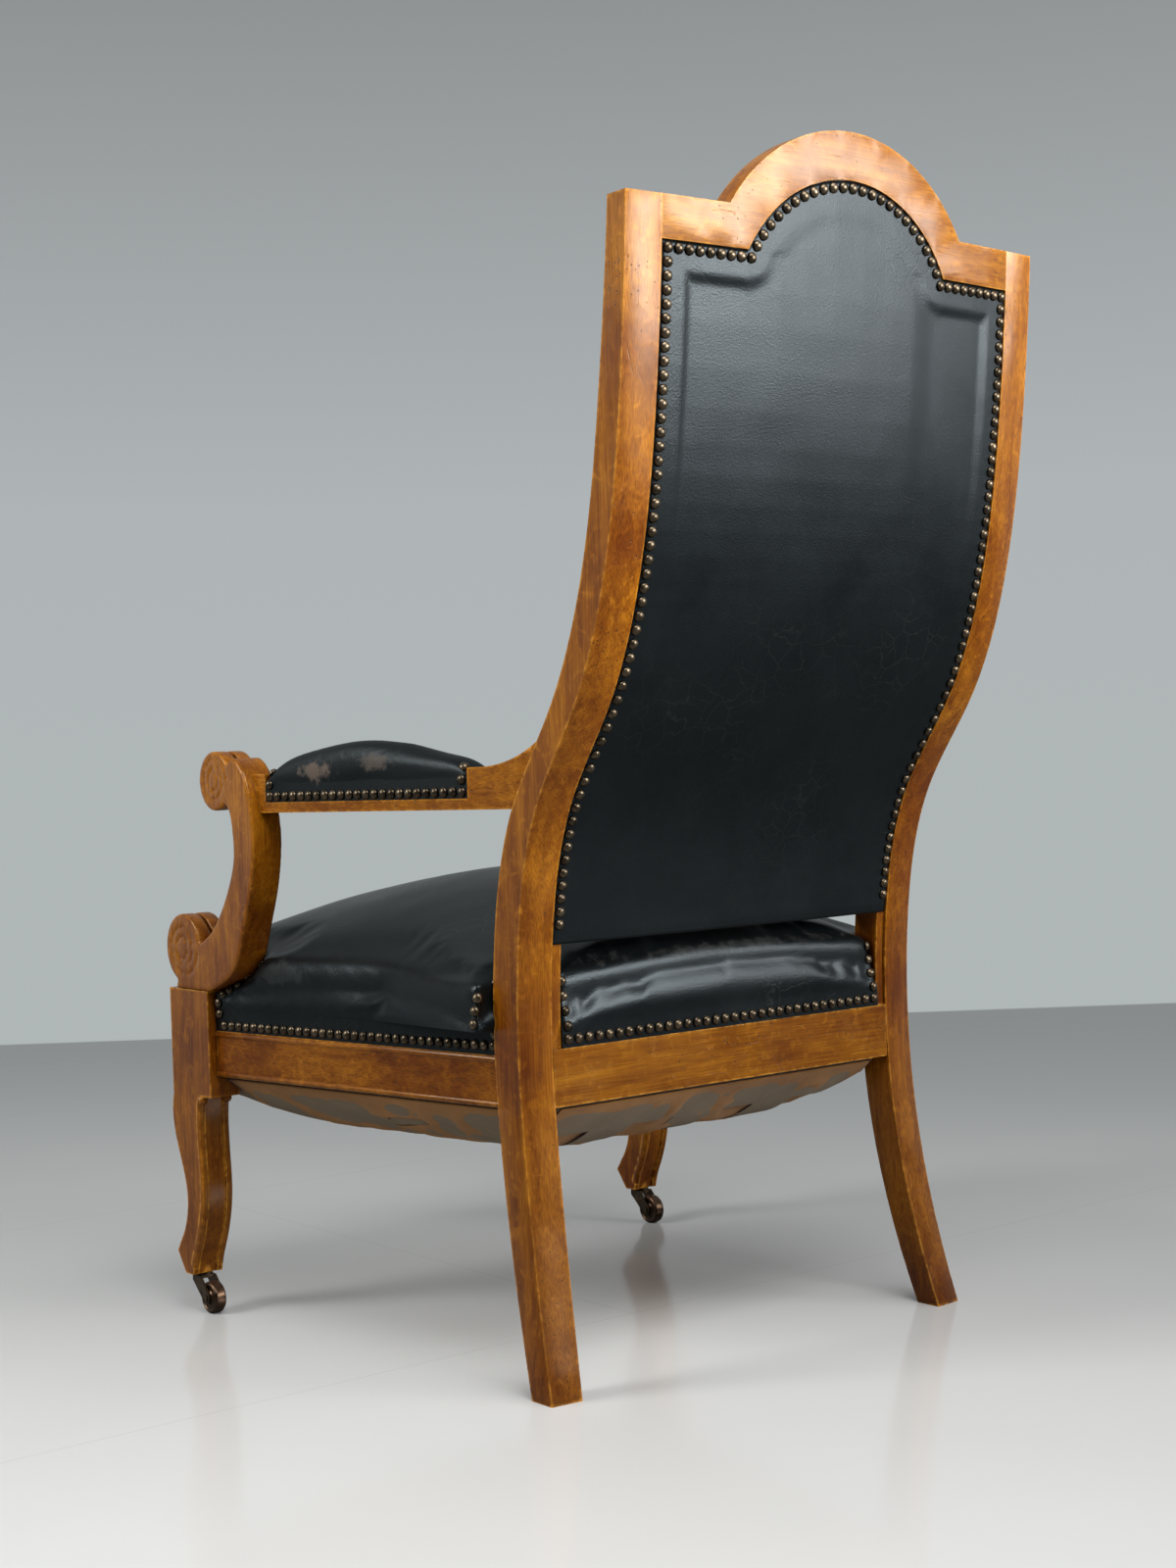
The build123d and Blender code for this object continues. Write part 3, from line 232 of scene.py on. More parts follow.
def wood(name, grain, light, dark, specks=0.5, worn=1.0):
    """Old wood with its grain along an axis and two tones; specks are worm holes, worn is rubbed arrises."""
    material, tree, shader = new_material(name)
    place = link("ShaderNodeTexCoord", tree).outputs["Object"]
    along = tuple(0.09 if axis == grain else 1.0 for axis in "XYZ")
    fibres = tuple(0.02 if axis == grain else 1.0 for axis in "XYZ")
    figure_map = link("ShaderNodeMapping", tree, Vector=place, Scale=along).outputs[0]
    fibre_map = link("ShaderNodeMapping", tree, Vector=place, Scale=fibres).outputs[0]
    figure = cloudy(tree, figure_map, 52.0, 6.0, Roughness=0.62, Distortion=0.9)
    fibre = cloudy(tree, fibre_map, 900.0, 3.0)
    blotch = cloudy(tree, place, 8.0, 5.0, Roughness=0.65)
    curl = cloudy(tree, place, 55.0, 4.0, Distortion=1.8)
    colour = mixed(tree, "MIX", ramp(tree, figure, ((0.30, 0.0), (0.68, 1.0))), (*dark, 1), (*light, 1))
    pale = (light[0] * 1.35, light[1] * 1.45, light[2] * 2.2, 1)
    colour = mixed(tree, "MIX", ramp(tree, curl, ((0.52, 0.0), (0.74, 0.55))), colour, pale)
    colour = mixed(tree, "MULTIPLY", ramp(tree, blotch, ((0.40, 0.0), (0.64, 1.0))), colour, (0.56, 0.41, 0.26, 1))
    colour = mixed(tree, "MULTIPLY", ramp(tree, fibre, ((0.36, 0.75), (0.58, 0.0))), colour, (0.52, 0.38, 0.26, 1))
    # Painted shade: the wood is darkened from 0.70 m down to 0.20 m, for the light that falls off downwards. The
    # same mask adds a few more worm holes low down.
    height = link("ShaderNodeSeparateXYZ", tree, Vector=place).outputs["Z"]
    painted_low_shade = link("ShaderNodeMapRange", tree, Value=height, From_Min=0.70, From_Max=0.20, To_Min=0.0,
                 To_Max=0.62).outputs[0]
    colour = mixed(tree, "MULTIPLY", painted_low_shade, colour, (0.52, 0.45, 0.36, 1))
    cells = link("ShaderNodeTexVoronoi", tree, Vector=place, Scale=230.0)
    near = ramp(tree, cells.outputs["Distance"], ((0.16, 1.0), (0.24, 0.0)))
    chosen = link("ShaderNodeSeparateColor", tree, Color=cells.outputs["Color"]).outputs[0]
    patch = cloudy(tree, place, 9.0, 2.0)
    worm = math(tree, "ADD", math(tree, "MULTIPLY", chosen, 0.6), math(tree, "MULTIPLY", patch, 1.1))
    worm = math(tree, "ADD", worm, math(tree, "MULTIPLY", painted_low_shade, 0.10))
    holes = math(tree, "MULTIPLY", near, math(tree, "GREATER_THAN", worm, 1.21 - 0.09 * specks))
    colour = mixed(tree, "MIX", math(tree, "MULTIPLY", holes, 0.85), colour, (0.030, 0.010, 0.003, 1))
    checks = link("ShaderNodeTexVoronoi", tree, Vector=figure_map, Scale=34.0,
                  set_feature="DISTANCE_TO_EDGE").outputs["Distance"]
    cracks = ramp(tree, checks, ((0.0, 1.0), (0.012, 0.0)))
    cracks = math(tree, "MULTIPLY", cracks, ramp(tree, curl, ((0.50, 0.0), (0.62, 0.65))))
    colour = mixed(tree, "MIX", cracks, colour, (0.050, 0.016, 0.004, 1))
    # Painted shade in corners and between parts, from an occlusion mask; it also stands for dirt lodged in the
    # recesses.
    corner = link("ShaderNodeAmbientOcclusion", tree, Distance=0.010, set_samples=4).outputs["AO"]
    colour = mixed(tree, "MULTIPLY", ramp(tree, corner, ((0.30, 1.0), (0.80, 0.0))), colour, (0.22, 0.13, 0.09, 1))
    edge = link("ShaderNodeAmbientOcclusion", tree, Distance=0.004, set_samples=6, set_inside=True).outputs["AO"]
    rubbed = ramp(tree, edge, ((0.55, 1.0), (0.80, 0.0)))
    rubbed = math(tree, "MULTIPLY", rubbed, ramp(tree, curl, ((0.38, 0.1 * worn), (0.60, 0.75 * worn))))
    colour = mixed(tree, "MIX", rubbed, colour, (light[0] * 1.5, light[1] * 1.75, light[2] * 5.0, 1))
    tree.links.new(colour, shader.inputs["Base Color"])
    gloss = cloudy(tree, place, 24.0, 5.0, Roughness=0.65)
    tree.links.new(ramp(tree, gloss, ((0.30, 0.30), (0.75, 0.42))), shader.inputs["Roughness"])
    shader.inputs["Specular IOR Level"].default_value = 0.40
    shader.inputs["Specular Tint"].default_value = (1.0, 0.66, 0.30, 1.0)
    shader.inputs["Coat Weight"].default_value = 0.42
    tree.links.new(ramp(tree, gloss, ((0.32, 0.17), (0.72, 0.30))), shader.inputs["Coat Roughness"])
    relief = math(tree, "SUBTRACT", math(tree, "MULTIPLY", fibre, 0.30), math(tree, "MULTIPLY", holes, 1.2))
    relief = math(tree, "SUBTRACT", relief, math(tree, "MULTIPLY", cracks, 0.8))
    relief = math(tree, "ADD", relief, math(tree, "MULTIPLY", curl, 0.5))
    bump = link("ShaderNodeBump", tree, Strength=0.30, Distance=0.0006, Height=relief).outputs[0]
    tree.links.new(bump, shader.inputs["Normal"])
    tree.links.new(bump, shader.inputs["Coat Normal"])
    return material


def eased(piece, material, width):
    """A finished wooden piece: its material, and its arrises rubbed round."""
    piece.data.materials.clear()
    piece.data.materials.append(material)
    if width:
        weld = piece.modifiers.new("weld", "WELD")
        weld.merge_threshold = arris_weld
        bevel = piece.modifiers.new("arris", "BEVEL")
        bevel.width = width
        bevel.segments = 3
        bevel.limit_method = "ANGLE"
        bevel.angle_limit = arris_angle
        bevel.harden_normals = True
        bevel.use_clamp_overlap = True


cherry_light = (0.60, 0.222, 0.008)
cherry_dark = (0.27, 0.070, 0.002)
upright_wood = wood("cherry_upright", "Z", cherry_light, cherry_dark, 1.0)
bead_wood = wood("cherry_bead", "Z", cherry_light, cherry_dark, 0.2, 0.12)
for side in ("left_", "right_"):
    eased(nodes[side + "rear_post"], upright_wood, post_edge)

# Crest rail, seat rails and arm rails
# The crest is cut from one wide board with its grain across. The rails have their grain along them,
# and the seat rails a bead worked on the lower edge.
crest_edge = 2.0 * mm
rail_edge = 1.2 * mm
across_wood = wood("cherry_across", "X", (0.57, 0.225, 0.011), (0.29, 0.082, 0.003), 0.6)
depth_wood = wood("cherry_lengthwise", "Y", cherry_light, cherry_dark, 0.7)
eased(nodes["crest_rail"], across_wood, crest_edge)
for name in ("rear_seat_rail", "front_seat_rail"):
    eased(nodes[name], across_wood, rail_edge)
for side in ("left_", "right_"):
    eased(nodes[side + "side_seat_rail"], depth_wood, rail_edge)
    eased(nodes[side + "arm_rail"], depth_wood, rail_edge)

# Hidden rail, glue blocks and dowels
# Plain sawn beech, never polished, grey-brown with age.
beech = wood("sawn_beech", "X", (0.40, 0.27, 0.15), (0.30, 0.19, 0.10), 0.2)
for name in ("lower_back_rail", "corner_blocks", "dowels"):
    eased(nodes[name], beech, 0)

# Front legs
# Cabriole legs of cherry under a square block. A rounded bead runs up each rear corner and ends in
# a small ball under the block.
leg_edge = 1.5 * mm
leg_middle = 0.32
leg_border_middle = 1.5 * mm
leg_bead_knots = 24
leg_bead_radius = 4.2 * mm
leg_bead_inset = 3.0 * mm
leg_ball_radius = 5.6 * mm
leg_bead_top, leg_bead_foot = 238 * mm, 52 * mm


def surface_of(piece):
    """A piece's surface, to lay things on."""
    mesh = piece.data
    return BVHTree.FromPolygons([v.co for v in mesh.vertices], [p.vertices for p in mesh.polygons])


def laid_on(surface, start, direction):
    """The point and the outward normal where a line from outside first meets a surface."""
    place, normal, _, _ = surface.ray_cast(Vector(start), Vector(direction))
    if place is None:
        place, normal, _, _ = surface.find_nearest(Vector(start) + Vector(direction))
    if normal.dot(Vector(direction)) > 0:
        normal = -normal
    return place, normal


def only(piece):
    """Selects one piece alone and makes it active."""
    bpy.ops.object.select_all(action="DESELECT")
    piece.select_set(True)
    bpy.context.view_layer.objects.active = piece


def dressed(piece, material, body, slot, *stood_for):
    """A finished new piece: smooth, with its material, riding on its body for its CAD nodes."""
    piece.data.materials.clear()
    piece.data.materials.append(material)
    piece.data.shade_smooth()
    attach(piece, body)
    if stood_for:
        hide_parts(*stood_for)


def leg_bead(side, corner, inward):
    """A rounded bead up the rear corner of a leg, ending in a ball under the block."""
    leg_surface = surface_of(nodes[side + "front_leg"])
    x = corner + inward * leg_bead_inset
    bpy.ops.object.select_all(action="DESELECT")
    bpy.ops.curve.primitive_nurbs_path_add(location=(0, 0, 0))
    bead = bpy.context.object
    path = bead.data.splines[0]
    path.points.add(leg_bead_knots - len(path.points))
    for k, knot in enumerate(path.points):
        z = leg_bead_foot + (leg_bead_top - leg_bead_foot) * k / (leg_bead_knots - 1)
        rear, _ = laid_on(leg_surface, (corner + inward * leg_border_middle, 0.5, z), (0, -1, 0))
        knot.co = (x, rear.y - leg_bead_inset, z, 1)
    path.order_u = 4
    path.use_endpoint_u = True
    bead.data.bevel_depth = leg_bead_radius
    bead.data.bevel_resolution = 3
    bead.data.use_fill_caps = True
    bpy.ops.object.convert(target="MESH")
    bead = bpy.context.object
    bead.name = side + ("outer" if abs(corner) > leg_middle else "inner") + "_leg_bead"
    bpy.ops.object.mode_set(mode="EDIT")
    bpy.ops.mesh.select_all(action="DESELECT")
    bpy.ops.mesh.primitive_uv_sphere_add(segments=20, ring_count=12, radius=leg_ball_radius,
                                         location=(x, rear.y + 1 * mm, leg_bead_top + 2 * mm))
    bpy.ops.object.mode_set(mode="OBJECT")
    dressed(bead, bead_wood, "chair", "frame_wood")


for side in ("left_", "right_"):
    eased(nodes[side + "front_leg"], upright_wood, leg_edge)
    low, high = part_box(side + "front_leg")
    for corner, inward in ((low.x, 1), (high.x, -1)):
        leg_bead(side, corner, inward)

# Arm supports
# A C-curve of cherry with a carved scroll at each end, rubbed round by hands over the years, so
# the whole piece is softened instead of its arrises alone.
support_grain = 1.6 * mm
for side in ("left_", "right_"):
    support = nodes[side + "arm_support"]
    eased(support, upright_wood, 0)
    carved = support.modifiers.new("carved", "REMESH")
    carved.mode = "VOXEL"
    carved.voxel_size = support_grain
    carved.use_smooth_shade = True
    rubbed = support.modifiers.new("rubbed", "SMOOTH")
    rubbed.factor = 0.5
    rubbed.iterations = 7

# Outer back leather
# One hide stretched over the back of the frame and nailed into the rebate. It is drawn over the
# frame's inner edge, which shows through as a soft dent inside the nails at the shoulders.


def leather(name, tone, sheen, rubs=()):
    """Black leather gone blue-green with a fine grain; rubs are (place, size, strength, colour)."""
    material, tree, shader = new_material(name)
    place = link("ShaderNodeTexCoord", tree).outputs["Object"]
    cloud = cloudy(tree, place, 9.0, 6.0, Roughness=0.65)
    colour = mixed(tree, "MIX", ramp(tree, cloud, ((0.35, 0.0), (0.75, 1.0))), (*tone, 1),
                   (tone[0] * 1.9, tone[1] * 1.8, tone[2] * 1.75, 1))
    pebble = link("ShaderNodeTexVoronoi", tree, Vector=place, Scale=620.0, Randomness=1.0).outputs["Distance"]
    fine = cloudy(tree, place, 420.0, 4.0)
    warp = link("ShaderNodeTexNoise", tree, Vector=place, Scale=30.0, Detail=3.0).outputs["Color"]
    bent = link("ShaderNodeVectorMath", tree, set_operation="MULTIPLY_ADD", i0=warp, i1=(0.03, 0.03, 0.03),
                i2=place).outputs[0]
    crease = link("ShaderNodeTexVoronoi", tree, Vector=bent, Scale=42.0,
                  set_feature="DISTANCE_TO_EDGE").outputs["Distance"]
    lines = ramp(tree, crease, ((0.0, 1.0), (0.030, 0.0)))
    patch = cloudy(tree, place, 6.0, 3.0)
    lines = math(tree, "MULTIPLY", lines, ramp(tree, patch, ((0.52, 0.0), (0.70, 1.0))))
    colour = mixed(tree, "MIX", math(tree, "MULTIPLY", lines, 0.25), colour, (0.07, 0.067, 0.060, 1))
    rough = ramp(tree, cloud, ((0.25, sheen), (0.80, sheen + 0.10)))
    ragged = cloudy(tree, place, 75.0, 8.0, Roughness=0.72)
    for centre, size, strength, rubbed in rubs:
        away = link("ShaderNodeVectorMath", tree, set_operation="SUBTRACT", i0=place, i1=centre).outputs[0]
        away = link("ShaderNodeVectorMath", tree, set_operation="DIVIDE", i0=away, i1=size).outputs[0]
        far = link("ShaderNodeVectorMath", tree, set_operation="LENGTH", i0=away).outputs["Value"]
        zone = math(tree, "SUBTRACT", 1.0, far)
        amount = math(tree, "ADD", zone, math(tree, "MULTIPLY", math(tree, "SUBTRACT", ragged, 0.5), 2.4))
        amount = math(tree, "MULTIPLY", amount, math(tree, "GREATER_THAN", zone, -0.25))
        amount = ramp(tree, amount, ((0.20, 0.0), (0.62, strength)))
        colour = mixed(tree, "MIX", amount, colour, (*rubbed, 1))
        rough = math(tree, "ADD", rough, math(tree, "MULTIPLY", amount, 0.25))
    tree.links.new(colour, shader.inputs["Base Color"])
    tree.links.new(rough, shader.inputs["Roughness"])
    shader.inputs["Specular IOR Level"].default_value = 0.36
    shader.inputs["Specular Tint"].default_value = (0.80, 0.93, 1.0, 1.0)
    relief = math(tree, "ADD", math(tree, "MULTIPLY", pebble, 0.6), math(tree, "MULTIPLY", fine, 0.5))
    relief = math(tree, "SUBTRACT", relief, math(tree, "MULTIPLY", lines, 0.8))
    bump = link("ShaderNodeBump", tree, Strength=0.32, Distance=0.0005, Height=relief).outputs[0]
    tree.links.new(bump, shader.inputs["Normal"])
    return material


back_hide = leather("back_hide", (0.0042, 0.0062, 0.0072), 0.30)
back_half_width = 227.4 * mm
back_bottom = 424.5 * mm
back_shoulder = 1057.5 * mm
back_arch_half = 129.2 * mm
back_arch_top = 1134.4 * mm
arch_rise = back_arch_top - back_shoulder
arch_radius = (back_arch_half ** 2 + arch_rise ** 2) / (2 * arch_rise)
arch_centre = back_arch_top - arch_radius


def panel_top(x):
    """Height of the back panel's outline over a point across it."""
    if abs(x) >= back_arch_half:
        return back_shoulder
    return arch_centre + sqrt(arch_radius ** 2 - x * x)


def panel_edge(x, z):
    """How far inside the back panel's sides and top a point lies."""
    side = back_half_width - abs(x)
    if z > back_shoulder:
        return min(side, arch_radius - sqrt(x * x + (z - arch_centre) ** 2))
    over = max(0.0, abs(x) - back_arch_half)
    if over:
        return min(side, back_shoulder - z)
    return min(side, sqrt((back_arch_half - abs(x)) ** 2 + (back_shoulder - z) ** 2))


def piece_from(name, form):
    """A new piece from a finished form."""
    mesh = bpy.data.meshes.new(name)
    form.to_mesh(mesh)
    form.free()
    piece = bpy.data.objects.new(name, mesh)
    bpy.context.scene.collection.objects.link(piece)
    return piece


def grid_piece(name, columns, rows, place):
    """A mesh of quads, its points given by place(column, row), or left out where that is None."""
    form = bmesh.new()
    points = {}
    for c in range(columns):
        for r in range(rows):
            point = place(c, r)
            if point is not None:
                points[c, r] = form.verts.new(point)
    for c in range(columns - 1):
        for r in range(rows - 1):
            corners = [points.get(key) for key in ((c, r), (c + 1, r), (c + 1, r + 1), (c, r + 1))]
            if None not in corners:
                form.faces.new(corners)
    bmesh.ops.remove_doubles(form, verts=form.verts, dist=0.00001)
    bmesh.ops.recalc_face_normals(form, faces=form.faces)
    return piece_from(name, form)


def applied(piece, kind, **settings):
    """Adds one modifier with its settings and applies it."""
    modifier = piece.modifiers.new(kind.lower(), kind)
    for key, value in settings.items():
        setattr(modifier, key, value)
    only(piece)
    bpy.ops.object.modifier_apply(modifier=modifier.name)


def ease(value):
    """A smooth step from 0 to 1."""
    value = min(1.0, max(0.0, value))
    return value * value * (3 - 2 * value)


back_columns, back_rows = 141, 221
hide_tuck = 1.1 * mm
hide_slack = 0.5 * mm
frame_edge_inset = 24 * mm
leather_surface = surface_of(nodes["outer_back_leather"])


def back_leather_point(c, r):
    """A point of the outer hide: tucked in at its edge, proud over the frame, sunken inside it."""
    x = -back_half_width + 2 * back_half_width * c / (back_columns - 1)
    z = back_bottom + (panel_top(x) - back_bottom) * r / (back_rows - 1)
    point, normal = laid_on(leather_surface, (x, 1, z), (0, -1, 0))
    edge = panel_edge(x, z)
    upper = ease((z - 0.62) / 0.35)
    sink = hide_tuck * (1 - ease(edge / (4 * mm)))
    shoulder = ease((abs(x) - 0.085) / 0.04)
    dent = (0.2 + (0.5 + 1.5 * shoulder) * upper) * mm
    sink += dent * ease((edge - frame_edge_inset) / ((20 - 8 * shoulder) * mm))
    sink += 0.7 * mm * ease(1 - (z - back_bottom) / (9 * mm))
    wave = noise.noise(Vector((x * 7, 0, z * 7))) + 0.4 * noise.noise(Vector((x * 22, 3, z * 22)))
    return Vector((x, point.y, z)) - normal * (sink + hide_slack * (1 + wave))


outer_back = grid_piece("outer_back_hide", back_columns, back_rows, back_leather_point)
applied(outer_back, "SOLIDIFY", thickness=1.2 * mm, offset=-1.0)
dressed(outer_back, back_hide, "chair", "leather", "outer_back_leather")

# Back nails
# Round-headed upholstery nails of brass gone dark, driven close along the rebate round the sides
# and top of the back. There are none along its lower edge.
nail_radius = 5.4 * mm
nail_height = 4.0 * mm
nail_pitch = 12.5 * mm
nail_inset = 6.6 * mm
nail_driven = 0.5 * mm
nail_sides = 10


def brass(name, dark, bright):
    """Old brass: dark in the hollows, rubbed bright in patches."""
    material, tree, shader = new_material(name)
    place = link("ShaderNodeTexCoord", tree).outputs["Object"]
    spots = cloudy(tree, place, 160.0, 5.0, Roughness=0.7)
    each = cloudy(tree, place, 45.0, 1.0)
    share = math(tree, "ADD", math(tree, "MULTIPLY", spots, 0.6), math(tree, "MULTIPLY", each, 0.5))
    colour = mixed(tree, "MIX", ramp(tree, share, ((0.42, 0.0), (0.70, 1.0))), (*dark, 1), (*bright, 1))
    corner = link("ShaderNodeAmbientOcclusion", tree, Distance=0.004, set_samples=4).outputs["AO"]
    colour = mixed(tree, "MULTIPLY", ramp(tree, corner, ((0.4, 0.9), (0.9, 0.0))), colour, (0.15, 0.12, 0.10, 1))
    tree.links.new(colour, shader.inputs["Base Color"])
    shader.inputs["Metallic"].default_value = 0.9
    tree.links.new(ramp(tree, spots, ((0.3, 0.24), (0.7, 0.42))), shader.inputs["Roughness"])
    bump = link("ShaderNodeBump", tree, Strength=0.25, Distance=0.0003, Height=spots).outputs[0]
    tree.links.new(bump, shader.inputs["Normal"])
    return material


nail_brass = brass("dark_brass_nails", (0.060, 0.046, 0.030), (0.23, 0.175, 0.115))


def run_of_points(path, pitch):
    """Points spaced evenly along a run of straight stretches, both ends included."""
    lengths = [(b - a).length for a, b in zip(path, path[1:])]
    total = sum(lengths)
    count = max(1, round(total / pitch))
    made = []
    for k in range(count + 1):
        left = total * k / count
        for a, b, length in zip(path, path[1:], lengths):
            if left <= length or b is path[-1]:
                made.append(a.lerp(b, min(1.0, left / length)))
                break
            left -= length
    return made


def domed_head(name, radius, height, sides):
    """A domed head standing on the origin: the upper half of a ball, flattened to its height."""
    bpy.ops.object.select_all(action="DESELECT")
    bpy.ops.mesh.primitive_uv_sphere_add(segments=sides, ring_count=8, radius=radius, location=(0, 0, 0))
    head = bpy.context.object
    head.name = name
    bpy.ops.object.mode_set(mode="EDIT")
    bpy.ops.mesh.select_all(action="SELECT")
    bpy.ops.mesh.bisect(plane_co=(0, 0, 0), plane_no=(0, 0, 1), clear_inner=True, use_fill=True)
    bpy.ops.mesh.select_all(action="SELECT")
    bpy.ops.transform.resize(value=(1, 1, height / radius))
    bpy.ops.object.mode_set(mode="OBJECT")
    return head


nail_head = domed_head("nail_head", nail_radius, nail_height, nail_sides)


def nail_row(name, seats, head, material, slot, *stood_for):
    """One mesh of copies of a head, each seated on a point and turned to its normal."""
    form = bmesh.new()
    for number, (point, normal) in enumerate(seats):
        lean = Vector((sin(number * 2.4), cos(number * 1.7), sin(number * 0.9))) * 0.07
        turn = (normal + lean).to_track_quat("Z", "Y").to_matrix().to_4x4()
        copy = head.data.copy()
        copy.transform(Matrix.Translation(point - normal * nail_driven) @ turn)
        form.from_mesh(copy)
        bpy.data.meshes.remove(copy)
    piece = piece_from(name, form)
    dressed(piece, material, "chair", slot, *stood_for)


def back_nail_path(side):
    """Half of the nail line from the foot of one side to the top of the arch."""
    x = side * (back_half_width - nail_inset)
    level = back_shoulder - nail_inset
    inner = arch_radius - nail_inset
    spring = sqrt(inner ** 2 - (level - arch_centre) ** 2)
    stretch_side = [Vector((x, 0, back_bottom + 7 * mm)), Vector((x, 0, level))]
    stretch_shoulder = [Vector((x, 0, level)), Vector((side * spring, 0, level))]
    angle = [pi / 2 - side * k / 40 * (pi / 2 - np.arccos(spring / inner)) for k in range(40, -1, -1)]
    arch = [Vector((inner * cos(a), 0, arch_centre + inner * sin(a))) for a in angle]
    return stretch_side, stretch_shoulder, arch


back_seats = []
hide_surface = surface_of(outer_back)
for side in (-1, 1):
    for stretch in back_nail_path(side):
        for point in run_of_points(stretch, nail_pitch)[1:]:
            back_seats.append(laid_on(hide_surface, (point.x, 1, point.z), (0, -1, 0)))
nail_row("back_nails", back_seats, nail_head, nail_brass, "bronze")

# Inside back
# Horsehair and wadding over webbing, covered in the same hide and sewn down in diamonds: a button
# at each crossing, and a fold of hide from button to button and out to the edges.
tuft_pitch_wide = 96.0 * mm
tuft_pitch_high = 104.0 * mm
tuft_first_height = 545.0 * mm
tuft_rows = 6
inside_bottom = 446.4 * mm
inside_droop = 22.0 * mm
inside_edge_thick = 14.0 * mm
inside_swell = 30.0 * mm
inside_roll = 20.0 * mm
fold_depth = 7.5 * mm
fold_width = 8.0 * mm
crest_top = 1180 * mm
button_sink = 13.0 * mm
button_width = 14.0 * mm
inside_columns, inside_rows = 141, 211
inside_hide = leather("inside_hide", (0.0050, 0.0070, 0.0078), 0.38)
button_places = []
for row in range(tuft_rows):
    count = 4 - row % 2
    for column in range(count):
        across = (column - (count - 1) / 2) * tuft_pitch_wide
        button_places.append((across, tuft_first_height + row * tuft_pitch_high))
folds = []
for x, z in button_places:
    for other_x, other_z in button_places:
        if abs(other_z - z - tuft_pitch_high) < mm and abs(abs(other_x - x) - tuft_pitch_wide / 2) < mm:
            folds.append((x, z, other_x, other_z))
    if z < tuft_first_height + mm:
        folds.append((x, z, x * 1.12, inside_bottom - 20 * mm))
    if z > tuft_first_height + (tuft_rows - 1.5) * tuft_pitch_high:
        folds.append((x, z, x * 1.25, back_arch_top + 10 * mm))
    if abs(x) > 1.4 * tuft_pitch_wide:
        folds.append((x, z, (1 if x > 0 else -1) * (back_half_width + 10 * mm), z))
fold_array = np.array(folds)
button_array = np.array(button_places)


def tuft_sink(x, z):
    """How deep the hide is drawn in at a point by the folds and buttons."""
    ax, az, bx, bz = fold_array.T
    run_x, run_z = bx - ax, bz - az
    share = np.clip(((x - ax) * run_x + (z - az) * run_z) / (run_x ** 2 + run_z ** 2), 0, 1)
    far = np.hypot(x - ax - share * run_x, z - az - share * run_z)
    fold = fold_depth * np.exp(-far / fold_width).max()
    near = np.hypot(button_array[:, 0] - x, button_array[:, 1] - z).min()
    button = button_sink * np.exp(-((near / button_width) ** 1.5))
    return float(max(fold, button) + 0.25 * min(fold, button))


webbing_surface = surface_of(nodes["back_webbing"])


def inside_back_point(c, r):
    """A point of the inside hide: the stuffing's swell, rolled over at its edge and drawn in by the folds."""
    x = (-1 + 2 * c / (inside_columns - 1)) * (back_half_width - 0.2 * mm)
    foot = inside_bottom - inside_droop * ease(abs(x) / 0.19)
    z = foot + (panel_top(x) - 0.4 * mm - foot) * r / (inside_rows - 1)
    base, _ = laid_on(webbing_surface, (x, -1, z), (0, 1, 0))
    share = max(0.0, z - inside_bottom) / (crest_top - inside_bottom)
    swell = sin(pi * (0.08 + 0.84 * share)) ** 0.5
    thick = inside_edge_thick + inside_swell * (1 - (x / back_half_width) ** 2) * swell
    edge = max(0.0, min(panel_edge(x, z), z - foot))
    roll = sqrt(max(0.0, 1 - (1 - min(1.0, edge / inside_roll)) ** 2))
    thick *= 0.5 + 0.5 * roll
    thick -= tuft_sink(x, z) * (0.35 + 0.65 * roll)
    thick += 0.5 * mm * noise.noise(Vector((x * 30, 1, z * 30))) * roll
    return Vector((x, base.y - max(thick, 1.5 * mm), z))


def closed_behind(piece, surface, direction):
    """Gives a front sheet its sides and a back that lies on a surface."""
    form = bmesh.new()
    form.from_mesh(piece.data)
    made = bmesh.ops.extrude_face_region(form, geom=form.faces[:])
    for v in [g for g in made["geom"] if isinstance(g, bmesh.types.BMVert)]:
        base, _ = laid_on(surface, v.co - Vector(direction), direction)
        v.co.y = base.y - 0.2 * mm * direction[1]
    bmesh.ops.recalc_face_normals(form, faces=form.faces)
    form.to_mesh(piece.data)
    form.free()


inside_back = grid_piece("inside_back_hide", inside_columns, inside_rows, inside_back_point)
closed_behind(inside_back, webbing_surface, (0, 1, 0))
dressed(inside_back, inside_hide, "chair", "leather", "inside_back_pad")

# Buttons
# Wooden button moulds covered in the same hide, one drawn down at each crossing of the folds.
button_radius = 8.0 * mm
button_height = 4.6 * mm
button_reach = 9 * mm
button_head = domed_head("button_head", button_radius, button_height, 20)
inside_surface = surface_of(inside_back)
button_seats = []
for x, z in button_places:
    point, _ = laid_on(inside_surface, (x, -1, z), (0, 1, 0))
    around = [laid_on(inside_surface, (x + dx, -1, z + dz), (0, 1, 0))[0] for dx, dz in
              ((button_reach, 0), (-button_reach, 0), (0, button_reach), (0, -button_reach))]
    normal = (around[0] - around[1]).cross(around[2] - around[3]).normalized()
    if normal.y > 0:
        normal = -normal
    button_seats.append((point, normal))
nail_row("hide_buttons", button_seats, button_head, inside_hide, "leather", "back_buttons")
bpy.data.objects.remove(button_head)

